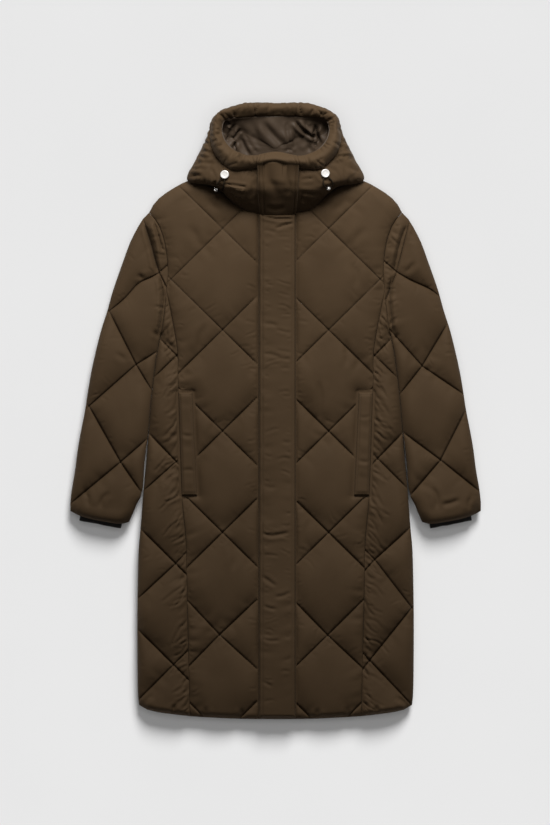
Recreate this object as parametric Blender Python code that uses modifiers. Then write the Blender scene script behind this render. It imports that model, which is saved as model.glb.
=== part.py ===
"""A long hooded puffer coat, laid flat on its back on a surface.

+X runs across the coat, +Y from the hem to the hood and +Z up from the surface.
The origin is on the surface, under the middle of the coat. Sizes below are in
millimetres and are turned into metres where the meshes are made.
"""

import bisect
import math

import bmesh
import bpy
import numpy as np
from mathutils import Vector
from mathutils.geometry import delaunay_2d_cdt

MM = 0.001

# Thicknesses of the layers, from the surface up.
BACK_THICK = 18.0
LAYER_GAP = 0.3
FRONT_FLOOR = BACK_THICK + LAYER_GAP
STITCH_THICK = 9.0
PUFF_THICK = 25.0
EDGE_LIP = 2.0
EDGE_ROLL = 24.0
SEAM_ROLL = 30.0
SEAM_INSET = 0.15
EDGE_RINGS = (5.0, 13.0)
SLAB_ROWS = ((0.8, 11.0), (4.0, 4.0), (13.0, 0.0))
PUFF_POWER = 2.5
SHARP_ANGLE = math.radians(50)

# How close the points of a panel's net come to its edges, creases and stitches.
CREASE_CLEAR = 3.0
STITCH_CLEAR = 4.0
GRID_CLEAR = 5.0
POINT_MERGE = 0.4

# The quilted diamonds: half of their width and half of their height.
DIAMOND_HALF_WIDTH = 103.0
DIAMOND_HALF_HEIGHT = 101.2
GRID_STEPS = 6
OUTLINE_STEP = 18.0

# The placket strip and the pocket welts lie in flat, unpadded places.
PLACKET_LEFT = -34.0
PLACKET_RIGHT = 40.0
PLACKET_THICK = 11.0
PLACKET_HEM_GAP = 4.0
PLACKET_TOP = 394.0
COLLAR_LAP_THICK = 6.0
COLLAR_LAP_STEP = 3
COLLAR_LAP_MARGIN = 3.0
COLLAR_LAP_LIFT = 1.5
STRIP_ROLL = 7.0
WELT_THICK = 7.0
WELT_CORNERS = ((194.0, 37.0), (166.4, 37.0), (157.0, -168.0), (187.2, -168.0))
FLAT_ZONE_MARGIN = 1.5
WELT_MARGIN = 5.0
WELT_CREASE = 3.4
WELT_SEAM_CLEAR = 4.0
HEM_CREASE_CLEAR = 4.0

# Half outlines of the body, for +X: (x, y) down each edge. -X mirrors them.
NECK_POINT = (104.0, 480.0)
SHOULDER = (NECK_POINT, (140, 471.5), (177, 460), (204, 446), (228, 430), (243, 415), (253, 397))
ARMHOLE_TOP = ((253, 397), (235, 374), (223, 342), (217, 306), (215, 272), (218, 242))
ARMHOLE_LOW = ((218, 242), (222.5, 197), (226.5, 170), (229.4, 152))
BODY_SIDE = (
    (229.4, 152), (237, 118), (242.4, 78), (246.4, 46), (249, 22), (253, -26),
    (256, -66), (259.5, -108), (262.5, -138), (266, -178), (268, -206), (270.5, -240),
    (273.5, -270), (275, -310), (276.5, -400), (276.5, -480), (275.5, -560), (273, -588),
)
HEM = ((273, -588), (255, -598), (225, -604), (171, -610.5), (142, -612.5), (75, -615.6), (0, -616.4))
PRINCESS_SEAM = (
    (218, 242), (213, 216), (203, 164), (196, 118), (195, 76), (194, 37), (187.2, -168),
    (179.5, -258), (177.2, -356), (174, -495), (171, -610.5),
)
FRONT_NECK = ((0, 404.5), (20, 405.2), (50, 409.5), (80, 421), (98, 440), (106, 462), NECK_POINT)
BACK_NECK = ((0, 472), (60, 474), NECK_POINT)

# Half outline of a sleeve, for +X.
SLEEVE_OUTER = (
    (253, 397), (267, 382), (289, 342), (304, 302), (325, 242), (336, 202), (349, 162),
    (359, 122), (368, 82), (375, 42), (381, 2), (389, -38), (396, -78), (401, -118),
    (408, -158), (411, -188), (410.5, -200),
)
CUFF_HEM = ((410.5, -200), (396.6, -207.4), (373.6, -215.4), (339, -222), (310.4, -226), (293, -222))
SLEEVE_INNER = (
    (293, -222), (283, -200), (276, -178), (270.5, -156), (267, -138), (262.5, -108),
    (257.5, -66), (253, -26), (249, 22), (246.4, 46), (242.4, 78), (237, 118), (229.4, 152),
)

# Where the quilting's crossings lie: (x, y) along the middle of each panel's diamonds.
FRONT_QUILT = ((106, 600), (106, 363.6), (106, -620))
SIDE_QUILT = ((190, 600), (198, 110), (204, -100), (204, -620))
SLEEVE_QUILT = ((196, 470), (238, 279), (285.6, 89.6), (318.4, -100.6), (350, -290))
SIDE_QUILT_START = 110.0
FRONT_QUILT_START = 363.6
SLEEVE_QUILT_START = 89.6
SLEEVE_HALF_WIDTH = 89.0
SLEEVE_HALF_HEIGHT = 95.5
SIDE_HALF_HEIGHT = 103.0

# The knitted inner cuff: a flat tube that stands out of the sleeve's end.
KNIT_WIDTH = 86.0
KNIT_HEIGHT = 10.0
KNIT_LENGTH = 42.0
KNIT_SLIT = 1.2
KNIT_WALL = 4.0
KNIT_END = (351.0, -227.0)
KNIT_TURN = math.radians(10.9)
KNIT_CLEARANCE = 0.6

# The hood: one row for each station, from the middle of the chin (0) round to the
# middle of the top (9), for +X. Each column is a ring's (x, y, z).
HOOD_STATIONS = (
    # base             bulge            valley          crest            lip              pouch            floor
    ((0, 410, 28),     (0, 391, 60),    (0, 470, 90),   (0, 485, 100),   (0, 502, 90),    (0, 430, 58),    (0, 424, 20)),
    ((40, 412, 28),    (48, 394, 60),   (57, 470, 90),  (53, 484, 99),   (51, 500, 89),   (44, 432, 58),   (40, 426, 20)),
    ((78, 428, 28),    (88, 409, 59),   (87, 475, 88),  (80, 489, 97),   (75, 504, 87),   (74, 444, 56),   (66, 438, 20)),
    ((98, 448, 28),    (126, 434, 56),  (106, 488, 84), (99, 498, 93),   (91, 514, 84),   (96, 464, 53),   (82, 456, 20)),
    ((114, 472, 28.5), (174, 458, 47),  (120, 509, 80), (113, 520, 88),  (101, 531, 80),  (126, 486, 48),  (92, 474, 20)),
    ((132, 496, 11.5), (159, 497, 30),  (130, 532, 72), (122, 540, 82),  (107, 549, 74),  (132, 510, 42),  (112, 502, 20)),
    ((114, 540, 11.2), (136, 540, 28),  (130, 555, 60), (122, 565, 73),  (106, 567, 65),  (116, 545, 36),  (102, 542, 20)),
    ((96, 582, 11.2),  (119, 588, 24),  (117, 588, 44), (105, 590, 62),  (91, 579, 56),   (97, 577, 32),   (86, 572, 20)),
    ((52, 594, 11.2),  (68, 613.2, 22), (67, 611.2, 40),  (63, 599, 58),   (60, 583, 52),   (55, 587, 30),   (48, 582, 20)),
    ((0, 595, 11.2),   (0, 614.2, 22),  (0, 612.2, 40),   (0, 600, 58),    (0, 584, 51),    (0, 589, 30),    (0, 584, 20)),
)
TOP_STATION = len(HOOD_STATIONS) - 1
HOOD_WALL = 6.0
RIM_GAP = 0.5
HOOD_BACK_THICK = 9.6
HOOD_BACK_ROWS = ((0.0, 7.0), (1.5, 3.0), (6.0, 0.0))
HOOD_BACK_OUTLINE = ((104, 481), (132, 494), (126, 515), (115, 545), (99, 583), (56, 597), (0, 598))
HOOD_SEAM_STATION = 8.36
HOOD_HOLLOW_MIDDLE = (0.0, 505.0)
LINING_THICK = 1.6
LINING_DROP = 1.4
LINING_STEPS = 5
STATION_STEPS = 3
STATION_NUDGE = 0.05
PROFILE_STEPS = 8
CREST_STEPS = 3

# The cord stops, the elastic loops below them and the metal ferrules on the loops.
# Places are (x, y) over the hood's wall; the left and right loops hang differently.
STOP_RADIUS = 8.5
STOP_HEIGHT = 6.0
STOP_BEVEL = 1.2
STOP_LIFT = 1.2
CORD_RADIUS = 1.25
CORD_LIFT = 0.7
CORD_POINT_STEP = 3.0
STOP_PLACES = {"left": (-100.5, 473.2), "right": (101.1, 476.4)}
LOOP_ROUTES = {
    "left": (
        (-107.5, 465.0), (-113.0, 460.5), (-117.2, 453.0), (-118.1, 444.5), (-116.0, 437.5),
        (-110.5, 436.5), (-106.5, 443.0), (-103.7, 452.0), (-101.8, 459.0), (-100.8, 463.2),
    ),
    "right": (
        (97.3, 466.6), (95.4, 458.0), (96.8, 450.0), (101.0, 445.9), (105.5, 444.9),
        (110.2, 446.4), (113.4, 451.0), (112.6, 459.0), (107.4, 467.0),
    ),
}
FERRULE_PLACES = {"left": 0.36, "right": 0.5}
FERRULE_LIFT = 2.6
FERRULE_SPREAD = 0.2
FERRULE_PROFILE = ((1.95, -2.3), (2.9, -3.0), (3.5, -1.3), (3.5, 1.3), (2.9, 3.0), (1.95, 2.3))
FERRULE_STEPS = 14

SHELL = ("shell_fabric", (0.060, 0.042, 0.027), 0.62, 0.0)
LINING = ("lining_satin", (0.052, 0.040, 0.031), 0.38, 0.0)
KNIT = ("black_knit", (0.006, 0.006, 0.006), 0.9, 0.0)
STOP = ("stop_enamel", (0.78, 0.76, 0.72), 0.3, 0.4)
CORD = ("elastic_cord", (0.012, 0.010, 0.008), 0.8, 0.0)
FERRULE = ("ferrule_metal", (0.62, 0.60, 0.56), 0.3, 1.0)


def clear_scene():
    """Remove the objects of the startup scene."""
    for old in list(bpy.data.objects):
        bpy.data.objects.remove(old, do_unlink=True)


def collection_named(name):
    """A new collection in the scene."""
    made = bpy.data.collections.new(name)
    bpy.context.scene.collection.children.link(made)
    return made


def material_of(finish):
    """The finish's material, made once."""
    name, colour, roughness, metallic = finish
    found = bpy.data.materials.get(name)
    if found:
        return found
    made = bpy.data.materials.new(name)
    made.use_nodes = True
    made.diffuse_color = (*colour, 1.0)
    shader = made.node_tree.nodes["Principled BSDF"]
    shader.inputs["Base Color"].default_value = (*colour, 1.0)
    shader.inputs["Roughness"].default_value = roughness
    shader.inputs["Metallic"].default_value = metallic
    return made


def object_from(name, bm, finish, collection):
    """Turn a bmesh in millimetres into an object in metres."""
    bmesh.ops.recalc_face_normals(bm, faces=bm.faces)
    bmesh.ops.scale(bm, vec=(MM, MM, MM), verts=bm.verts)
    mesh = bpy.data.meshes.new(name)
    bm.to_mesh(mesh)
    bm.free()
    mesh.shade_smooth()
    mesh.set_sharp_from_angle(angle=SHARP_ANGLE)
    made = bpy.data.objects.new(name, mesh)
    mesh.materials.append(material_of(finish))
    collection.objects.link(made)
    return made


def catmull_rom(rows, at):
    """The point at parameter `at` on a smooth curve through the rows, one unit a row."""
    rows = np.asarray(rows, float)
    i = min(max(int(math.floor(at)), 0), len(rows) - 2)
    t = at - i
    before = rows[i - 1] if i > 0 else 2 * rows[0] - rows[1]
    after = rows[i + 2] if i + 2 < len(rows) else 2 * rows[-1] - rows[-2]
    start, end = rows[i], rows[i + 1]
    return 0.5 * (
        2 * start
        + (end - before) * t
        + (2 * before - 5 * start + 4 * end - after) * t * t
        + (3 * start - before - 3 * end + after) * t**3
    )


def smooth_line(rows, step=OUTLINE_STEP):
    """Points about a step apart along a smooth curve through the rows, both ends included."""
    spans = len(rows) - 1
    fine = [catmull_rom(rows, spans * k / (40 * spans)) for k in range(40 * spans + 1)]
    lengths = np.cumsum([0.0] + [np.linalg.norm(b - a) for a, b in zip(fine, fine[1:])])
    count = max(1, round(lengths[-1] / step))
    wanted = [lengths[-1] * k / count for k in range(count + 1)]
    return [fine[min(bisect.bisect_left(lengths, w), len(fine) - 1)] for w in wanted]


def straight(a, b, step=OUTLINE_STEP):
    """Points about a step apart along a straight line, both ends included."""
    count = max(1, round(np.linalg.norm(b - a) / step))
    return [a + (b - a) * k / count for k in range(count + 1)]


def joined(*lines):
    """One closed outline from lines that meet end to start."""
    loop = [point for line in lines for point in line[:-1]]
    return [np.asarray(point, float) for point in loop]


def mirrored(points, side):
    """The points on +X (side 1) or mirrored to -X (side -1)."""
    return [np.array([side * p[0], *p[1:]], float) for p in points]


def signed_area(loop):
    """Twice the area of a loop, positive when it runs anticlockwise."""
    return sum(a[0] * b[1] - b[0] * a[1] for a, b in zip(loop, loop[1:] + loop[:1]))


def inset(loop, distance):
    """The loop moved inwards by a distance."""
    if signed_area(loop) < 0:
        loop = loop[::-1]
    moved = []
    for before, here, after in zip(loop[-1:] + loop[:-1], loop, loop[1:] + loop[:1]):
        first = (here - before) / np.linalg.norm(here - before)
        second = (after - here) / np.linalg.norm(after - here)
        bisector = np.array([-(first + second)[1], (first + second)[0]])
        bisector /= max(np.linalg.norm(bisector), 1e-6)
        share = max(0.45, bisector @ np.array([-first[1], first[0]]))
        moved.append(here + bisector * distance / share)
    return moved


def distances(points, line):
    """How far each point is from the nearest part of an open line."""
    points = np.asarray(points, float)
    best = np.full(len(points), 1e9)
    for a, b in zip(line, line[1:]):
        a, run = np.asarray(a, float), np.asarray(b, float) - np.asarray(a, float)
        t = np.clip(((points - a) @ run) / (run @ run), 0, 1)
        best = np.minimum(best, np.linalg.norm(points - a - t[:, None] * run, axis=1))
    return best


def inside(point, loop):
    """Whether a point lies inside a closed loop."""
    hit = False
    for a, b in zip(loop, loop[1:] + loop[:1]):
        if (a[1] > point[1]) != (b[1] > point[1]):
            hit ^= point[0] < (b[0] - a[0]) * (point[1] - a[1]) / (b[1] - a[1]) + a[0]
    return hit


def roll(distance, width):
    """From 0 at an edge to 1 a width away, rising as a quarter circle."""
    t = np.clip(distance / width, 0, 1)
    return np.sqrt(1 - (1 - t) ** 2)


class Quilting:
    """A lattice of stitched diamonds whose crossings follow a middle line."""

    def __init__(self, middle, start, half_width, half_height):
        self.middle = sorted((y, x) for x, y in middle)
        self.start, self.half_width, self.half_height = start, half_width, half_height

    def middle_at(self, y):
        """The middle line's x at a height y."""
        heights, widths = zip(*self.middle)
        return np.interp(y, heights, widths)

    def point(self, u, v):
        """The point u half widths and v half heights from the first crossing."""
        y = self.start + v * self.half_height
        return np.array([self.middle_at(y) + u * self.half_width, y])

    def puff(self, points):
        """How full the quilting is at each point, 0 on a stitch line and 1 in a diamond's middle."""
        v = (points[:, 1] - self.start) / self.half_height
        u = (points[:, 0] - self.middle_at(points[:, 1])) / self.half_width
        full = np.ones(len(points))
        for across in ((u + v) / 2, (u - v) / 2):
            full *= 1 - np.abs(2 * (across % 1) - 1) ** PUFF_POWER
        return full

    def grid(self, outline, closed, clear):
        """Points inside an outline and clear of some closed or open lines, and the stitches between them."""
        low, high = np.min(outline, axis=0), np.max(outline, axis=0)
        margin = self.half_width / 2
        reach = int(max(high - low) / self.half_height * GRID_STEPS) + 3 * GRID_STEPS
        first = round((low[1] - self.start) / self.half_height * GRID_STEPS)
        at = {}
        for j in range(first - 2, first + reach):
            for i in range(-reach, reach):
                p = self.point(i / GRID_STEPS, j / GRID_STEPS)
                if np.all(p > low - margin) and np.all(p < high + margin):
                    at[i, j] = p
        away = np.min([distances(list(at.values()), line) for line in closed], axis=0)
        kept, points = {}, []
        for ((i, j), p), gap in zip(at.items(), away):
            stitched = (i + j) % (2 * GRID_STEPS) == 0 or (i - j) % (2 * GRID_STEPS) == 0
            if gap > (STITCH_CLEAR if stitched else clear) and (stitched or inside(p, outline)):
                kept[i, j] = len(points)
                points.append(p)
        lines = []
        for (i, j), here in kept.items():
            if (i - j) % (2 * GRID_STEPS) == 0 and (i + 1, j + 1) in kept:
                lines.append((here, kept[i + 1, j + 1]))
            if (i + j) % (2 * GRID_STEPS) == 0 and (i + 1, j - 1) in kept:
                lines.append((here, kept[i + 1, j - 1]))
        return points, lines


def panel_mesh(outline, insets, quilting, creases, height_of, floor):
    """A panel: a raised upper face over a flat underside, closed round its outline.

    The upper face takes its points from the outline, the outline moved inwards, the
    creases and the quilting's grid, so that stitch lines and creases lie along its edges.
    """
    outline = inset(outline, SEAM_INSET)
    closed = outline + outline[:1]
    points, lines = list(outline), []
    for distance in insets:
        points += [p for p in inset(outline, distance) if inside(p, outline)]
    for crease in creases:
        kept = [p for p in crease if inside(p, outline) and distances([p], closed)[0] > CREASE_CLEAR]
        lines += [(len(points) + k, len(points) + k + 1) for k in range(len(kept) - 1)]
        points += kept
    if quilting:
        grid, stitches = quilting.grid(outline, [closed, *creases], max(insets) + GRID_CLEAR)
        lines += [(a + len(points), b + len(points)) for a, b in stitches]
        points += grid
    flat = [Vector((float(p[0]), float(p[1]))) for p in points]
    verts, _, faces, _, _, came_from = delaunay_2d_cdt(flat, lines, [list(range(len(outline)))], 0, POINT_MERGE)
    faces = [f for f, source in zip(faces, came_from) if source]
    heights = height_of(np.array([[v.x, v.y] for v in verts]))
    bm = bmesh.new()
    made = [bm.verts.new((v.x, v.y, float(z))) for v, z in zip(verts, heights)]
    for face in faces:
        bm.faces.new([made[i] for i in face])
    bmesh.ops.delete(bm, geom=[v for v in bm.verts if not v.link_faces], context="VERTS")
    rim = [e for e in bm.edges if e.is_boundary]
    walls = bmesh.ops.extrude_edge_only(bm, edges=rim)["geom"]
    lower = [v for v in walls if isinstance(v, bmesh.types.BMVert)]
    for v in lower:
        v.co.z = floor
    bmesh.ops.contextual_create(bm, geom=[e for e in bm.edges if e.is_boundary])
    return bm


def slab_mesh(outline, top, rows):
    """A flat slab whose lower edge is rounded: rows are (inset, z), from the top down."""
    bm = bmesh.new()
    rings = []
    for distance, z in ((0.0, top), *rows):
        ring = inset(outline, SEAM_INSET + distance)
        rings.append([bm.verts.new((p[0], p[1], z)) for p in ring])
    for upper, lower in zip(rings, rings[1:]):
        for k in range(len(upper)):
            n = (k + 1) % len(upper)
            bm.faces.new((upper[k], upper[n], lower[n], lower[k]))
    bm.faces.new(rings[0])
    bm.faces.new(rings[-1])
    return bm


def flat_zone(points, corners):
    """How far each point is outside a four-cornered flat place, 0 inside it."""
    loop = [np.asarray(c, float) for c in corners]
    away = distances(points, loop + loop[:1])
    held = np.array([inside(p, loop) for p in points])
    return np.where(held, 0.0, np.maximum(away - WELT_MARGIN, 0.0))


def front_height(quilting, seams, edges, side):
    """The height of a front panel's upper face, for points on +X that are then mirrored to its side."""

    def height_of(points):
        across = side * points[:, 0]
        full = quilting.puff(points)
        for seam in seams:
            full *= roll(distances(points, seam), SEAM_ROLL)
        strip = np.maximum(PLACKET_LEFT - across, across - PLACKET_RIGHT)
        full *= roll(np.maximum(strip - FLAT_ZONE_MARGIN, 0), SEAM_ROLL)
        full *= roll(flat_zone(points, WELT_CORNERS), SEAM_ROLL)
        full *= roll(collar_shadow(points), SEAM_ROLL)
        thick = STITCH_THICK + (PUFF_THICK - STITCH_THICK) * full
        for edge in edges:
            thick = EDGE_LIP + (thick - EDGE_LIP) * roll(distances(points, edge), EDGE_ROLL)
        return FRONT_FLOOR + thick

    return height_of


def collar_edge():
    """The line on the fronts under the widest part of the collar, from the middle to the shoulder."""
    return smooth_line([row[1][:2] for row in HOOD_STATIONS[:5]])


def collar_shadow(points):
    """How far each point on +X is outside the part of the front that the collar presses flat."""
    line = collar_edge()
    past, top = np.array([2 * PLACKET_LEFT, 0.0]), np.array([0.0, HOOD_BACK_OUTLINE[-1][1]])
    loop = line + [line[-1] * [1, 0] + top, past + top, past + line[0] * [0, 1]]
    away = distances(points, line)
    held = np.array([inside(p, loop) for p in points])
    return np.where(held, 0.0, away)


def front_creases(side):
    """The edges of the flat places on a front, for +X: beside the placket, the welt and the collar."""
    strip = (PLACKET_RIGHT if side > 0 else -PLACKET_LEFT) + FLAT_ZONE_MARGIN
    outer_top, inner_top, inner_low, outer_low = (np.array(c, float) for c in WELT_CORNERS)
    out, up = np.array([-WELT_CREASE, 0]), np.array([0, WELT_CREASE])
    clear = np.array([-WELT_SEAM_CLEAR, 0])
    welt = [outer_top + up + clear, inner_top + up + out, inner_low - up + out, outer_low - up + clear]
    sides = [straight(a, b) for a, b in zip(welt, welt[1:])]
    collar = collar_edge()
    lowest = collar[0][1] - COLLAR_LAP_MARGIN
    return [
        straight(np.array([strip, HEM[-1][1] + HEM_CREASE_CLEAR]), np.array([strip, lowest])),
        sides[0][:-1] + sides[1][:-1] + sides[2],
        [p for p in collar if p[0] > strip + COLLAR_LAP_MARGIN],
    ]


def make_fronts(collection):
    """The two main fronts and the two narrow side fronts."""
    centre_hem = [np.array([0.0, HEM[-1][1]]), np.array([0.0, FRONT_NECK[0][1]])]
    hem = smooth_line(HEM)
    cut = min(range(len(hem)), key=lambda k: abs(hem[k][0] - PRINCESS_SEAM[-1][0]))
    hem[cut] = np.array(PRINCESS_SEAM[-1], float)
    neck, shoulder = smooth_line(FRONT_NECK), smooth_line(SHOULDER)
    arm_top, arm_low = smooth_line(ARMHOLE_TOP), smooth_line(ARMHOLE_LOW)
    seam, side_edge = smooth_line(PRINCESS_SEAM), smooth_line(BODY_SIDE)
    centre = straight(*centre_hem)
    main = joined(centre, neck, shoulder, arm_top, seam, hem[cut:])
    narrow = joined(arm_low, side_edge, hem[: cut + 1], seam[::-1])
    main_quilt = Quilting(FRONT_QUILT, FRONT_QUILT_START, DIAMOND_HALF_WIDTH, DIAMOND_HALF_HEIGHT)
    side_quilt = Quilting(SIDE_QUILT, SIDE_QUILT_START, DIAMOND_HALF_WIDTH, SIDE_HALF_HEIGHT)
    for side, word in ((-1, "left"), (1, "right")):
        height_of = front_height(main_quilt, [seam, arm_top], [shoulder, hem], side)
        mesh = panel_mesh(main, EDGE_RINGS, main_quilt, front_creases(side), height_of, FRONT_FLOOR)
        finish_side(f"front_{word}", mesh, side, collection)
        height_of = front_height(side_quilt, [seam, arm_low], [side_edge, hem], side)
        mesh = panel_mesh(narrow, EDGE_RINGS, side_quilt, [], height_of, FRONT_FLOOR)
        finish_side(f"side_front_{word}", mesh, side, collection)


def finish_side(name, bm, side, collection, finish=SHELL):
    """Mirror a mesh made for +X to its own side and make its object."""
    if side < 0:
        bmesh.ops.scale(bm, vec=(-1, 1, 1), verts=bm.verts)
    return object_from(name, bm, finish, collection)


def make_back(collection):
    """The back, whose underside rests flat on the surface."""
    half = [smooth_line(line) for line in (BACK_NECK, SHOULDER, ARMHOLE_TOP, ARMHOLE_LOW, BODY_SIDE, HEM)]
    right = [p for line in half for p in line[:-1]] + [half[-1][-1]]
    left = mirrored(right[1:-1][::-1], -1)
    object_from("back", slab_mesh(right + left, BACK_THICK, SLAB_ROWS), SHELL, collection)


def make_sleeves(collection):
    """Each sleeve has an upper and an under piece, with a recess for the knitted cuff."""
    armhole = smooth_line(ARMHOLE_TOP)[:-1] + smooth_line(ARMHOLE_LOW)
    outer, hem, inner = smooth_line(SLEEVE_OUTER), smooth_line(CUFF_HEM, 14.0), smooth_line(SLEEVE_INNER)
    loop = joined(outer, hem, inner, armhole[::-1])
    quilt = Quilting(SLEEVE_QUILT, SLEEVE_QUILT_START, SLEEVE_HALF_WIDTH, SLEEVE_HALF_HEIGHT)

    def height_of(points):
        full = quilt.puff(points) * roll(distances(points, armhole), SEAM_ROLL)
        thick = STITCH_THICK + (PUFF_THICK - STITCH_THICK) * full
        for edge in (outer, hem, inner):
            thick = EDGE_LIP + (thick - EDGE_LIP) * roll(distances(points, edge), EDGE_ROLL)
        return FRONT_FLOOR + thick

    for side, word in ((-1, "left"), (1, "right")):
        upper = panel_mesh(loop, EDGE_RINGS, quilt, [], height_of, FRONT_FLOOR)
        upper = finish_side(f"sleeve_upper_{word}", upper, side, collection)
        under = slab_mesh(loop, BACK_THICK, SLAB_ROWS)
        under = finish_side(f"sleeve_under_{word}", under, side, collection)
        hollow = cutter(f"cuff_recess_{word}", KNIT_WIDTH + 2 * KNIT_CLEARANCE,
                        KNIT_LENGTH + KNIT_CLEARANCE, KNIT_HEIGHT + 2 * KNIT_CLEARANCE, side)
        for piece in (upper, under):
            cut(piece, hollow)


def cuff_place(side, length):
    """The middle of a box of this length at the sleeve's end, and its turn."""
    back = length / 2
    x = KNIT_END[0] - math.sin(KNIT_TURN) * back
    y = KNIT_END[1] + math.cos(KNIT_TURN) * back
    return (side * x * MM, y * MM, (BACK_THICK + LAYER_GAP / 2) * MM), side * KNIT_TURN


def cuff_box(name, width, length, height, side):
    """A box lying along the end of the sleeve on one side."""
    place, turn = cuff_place(side, length)
    bpy.ops.mesh.primitive_cube_add(size=1, location=place, rotation=(0, 0, turn))
    made = bpy.context.object
    made.name = name
    made.scale = (width * MM, length * MM, height * MM)
    bpy.ops.object.transform_apply(location=False, rotation=False, scale=True)
    return made


def into(made, collection):
    """Move an object into one collection only."""
    for old in list(made.users_collection):
        old.objects.unlink(made)
    collection.objects.link(made)


def cutter(name, width, length, height, side):
    """A box that cuts the knitted cuff's place, kept out of the render."""
    made = cuff_box(name, width, length, height, side)
    into(made, bpy.data.collections["cutters"])
    made.hide_render = True
    made.display_type = "WIRE"
    return made


def cut(piece, tool):
    """Take the tool's shape out of the piece."""
    boolean = piece.modifiers.new("cut", "BOOLEAN")
    boolean.operation = "DIFFERENCE"
    boolean.object = tool


def make_knit_cuffs(collection):
    """The knitted cuffs: flattened tubes with a thin slit where the hand goes through."""
    for side, word in ((-1, "left"), (1, "right")):
        band = cuff_box(f"knit_cuff_{word}", KNIT_WIDTH, KNIT_LENGTH, KNIT_HEIGHT, side)
        into(band, collection)
        band.data.materials.append(material_of(KNIT))
        rounding = band.modifiers.new("rounding", "BEVEL")
        rounding.width = KNIT_HEIGHT * MM * 0.3
        rounding.segments = 2
        slit = cutter(f"cuff_slit_{word}", KNIT_WIDTH - 2 * KNIT_WALL, KNIT_LENGTH * 3, KNIT_SLIT, side)
        place, _ = cuff_place(side, KNIT_LENGTH)
        slit.location = place
        cut(band, slit)


def make_strips(collection):
    """The placket down the middle and the two pocket welts, laid on the fronts."""
    low, high = HEM[-1][1] + PLACKET_HEM_GAP, PLACKET_TOP
    base = FRONT_FLOOR + STITCH_THICK + LAYER_GAP
    corners = [(PLACKET_LEFT, low), (PLACKET_RIGHT, low), (PLACKET_RIGHT, high), (PLACKET_LEFT, high)]
    strip_solid("placket", corners, base, PLACKET_THICK, collection)
    for side, word in ((-1, "left"), (1, "right")):
        strip_solid(f"pocket_welt_{word}", mirrored(WELT_CORNERS, side), base, WELT_THICK, collection)


def strip_solid(name, corners, base, thick, collection):
    """A soft four-cornered strip with rolled edges."""
    corners = [np.asarray(c, float) for c in corners]
    loop = [p for a, b in zip(corners, corners[1:] + corners[:1]) for p in straight(a, b, 2 * OUTLINE_STEP)[:-1]]
    edge = loop + loop[:1]

    def height_of(points):
        return base + 1.0 + (thick - 1.0) * roll(distances(points, edge), STRIP_ROLL)

    bm = panel_mesh(loop, (2.0, STRIP_ROLL + 0.5), None, [], height_of, base)
    object_from(name, bm, SHELL, collection)


class HoodRings:
    """The hood's rings, read at any station round the face opening."""

    def __init__(self):
        half = np.array(HOOD_STATIONS, float)
        flipped = half[::-1] * [-1, 1, 1]
        # Three stations past each end keep the curves smooth across the middle.
        self.rows = np.concatenate([half[1:4][::-1] * [-1, 1, 1], half, flipped[1:4]])
        self.shift = 3

    def at(self, station):
        """Each ring's point at a station from -9 to 9, or up to 12 past the top."""
        if station < 0:
            return self.at(-station) * [-1, 1, 1]
        return catmull_rom(self.rows, station + self.shift)

    def profile(self, station):
        """The outer wall's points from the base round the bulge to the valley under the rim."""
        rings = self.at(station)
        return [catmull_rom(rings[:3], 2 * k / PROFILE_STEPS) for k in range(PROFILE_STEPS + 1)]

    def grid(self, stations):
        """The outer wall's points, and its inner points a wall's thickness inside."""
        outer = np.array([self.profile(s) for s in stations])
        before = np.array([self.profile(s - STATION_NUDGE) for s in stations])
        after = np.array([self.profile(s + STATION_NUDGE) for s in stations])
        along = after - before
        up = np.gradient(outer, axis=1)
        normal = np.cross(up, along)
        normal /= np.linalg.norm(normal, axis=2)[:, :, None]
        if normal[0, PROFILE_STEPS // 2] @ (outer[0, PROFILE_STEPS // 2] - [0, 500, 40]) < 0:
            normal = -normal
        return outer, normal

    def wall(self, station, height):
        """The outer wall's point at a station, from the base (0) past the bulge (1) to the valley (2)."""
        return catmull_rom(self.at(station)[:3], height)

    def over(self, x, y, lift):
        """The point a distance off the wall over a place (x, y), and the wall's normal there."""
        station, height, small = 3.0, 1.4, 1e-3
        for _ in range(15):
            here = self.wall(station, height)
            along = (self.wall(station + small, height) - here) / small
            up = (self.wall(station, height + small) - here) / small
            step = np.linalg.solve(np.column_stack([along[:2], up[:2]]), np.array([abs(x), y]) - here[:2])
            station, height = station + step[0], height + step[1]
        normal = np.cross(along, up)
        normal *= math.copysign(1.0, normal[2]) / np.linalg.norm(normal)
        mirror = np.array([math.copysign(1.0, x), 1.0, 1.0])
        return (here + normal * lift) * mirror, normal * mirror

    def stations_between(self, first, last):
        """Evenly spaced stations, ends included."""
        count = max(2, round((last - first) * STATION_STEPS))
        return [first + (last - first) * k / count for k in range(count + 1)]


def loft(sections):
    """A closed solid through closed sections, with a cap at both ends.

    Each cap joins the section's first half to its second, so that caps which face
    each other across a seam are alike.
    """
    bm = bmesh.new()
    rings = [[bm.verts.new(p) for p in section] for section in sections]
    for ring, after in zip(rings, rings[1:]):
        for k in range(len(ring)):
            n = (k + 1) % len(ring)
            bm.faces.new((ring[k], ring[n], after[n], after[k]))
    for cap in (rings[0], rings[-1]):
        steps = range(len(cap) // 2 - 1)
        faces = [bm.faces.new((cap[k], cap[k + 1], cap[-2 - k], cap[-1 - k])) for k in steps]
        bmesh.ops.triangulate(bm, faces=faces, quad_method="FIXED")
    return bm


def station_gap(rings, station, width=SEAM_INSET):
    """The part of a station that a distance takes up on the valley ring."""
    before, after = rings.at(station - STATION_NUDGE)[2], rings.at(station + STATION_NUDGE)[2]
    return width * 2 * STATION_NUDGE / np.linalg.norm(after - before)


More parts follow.
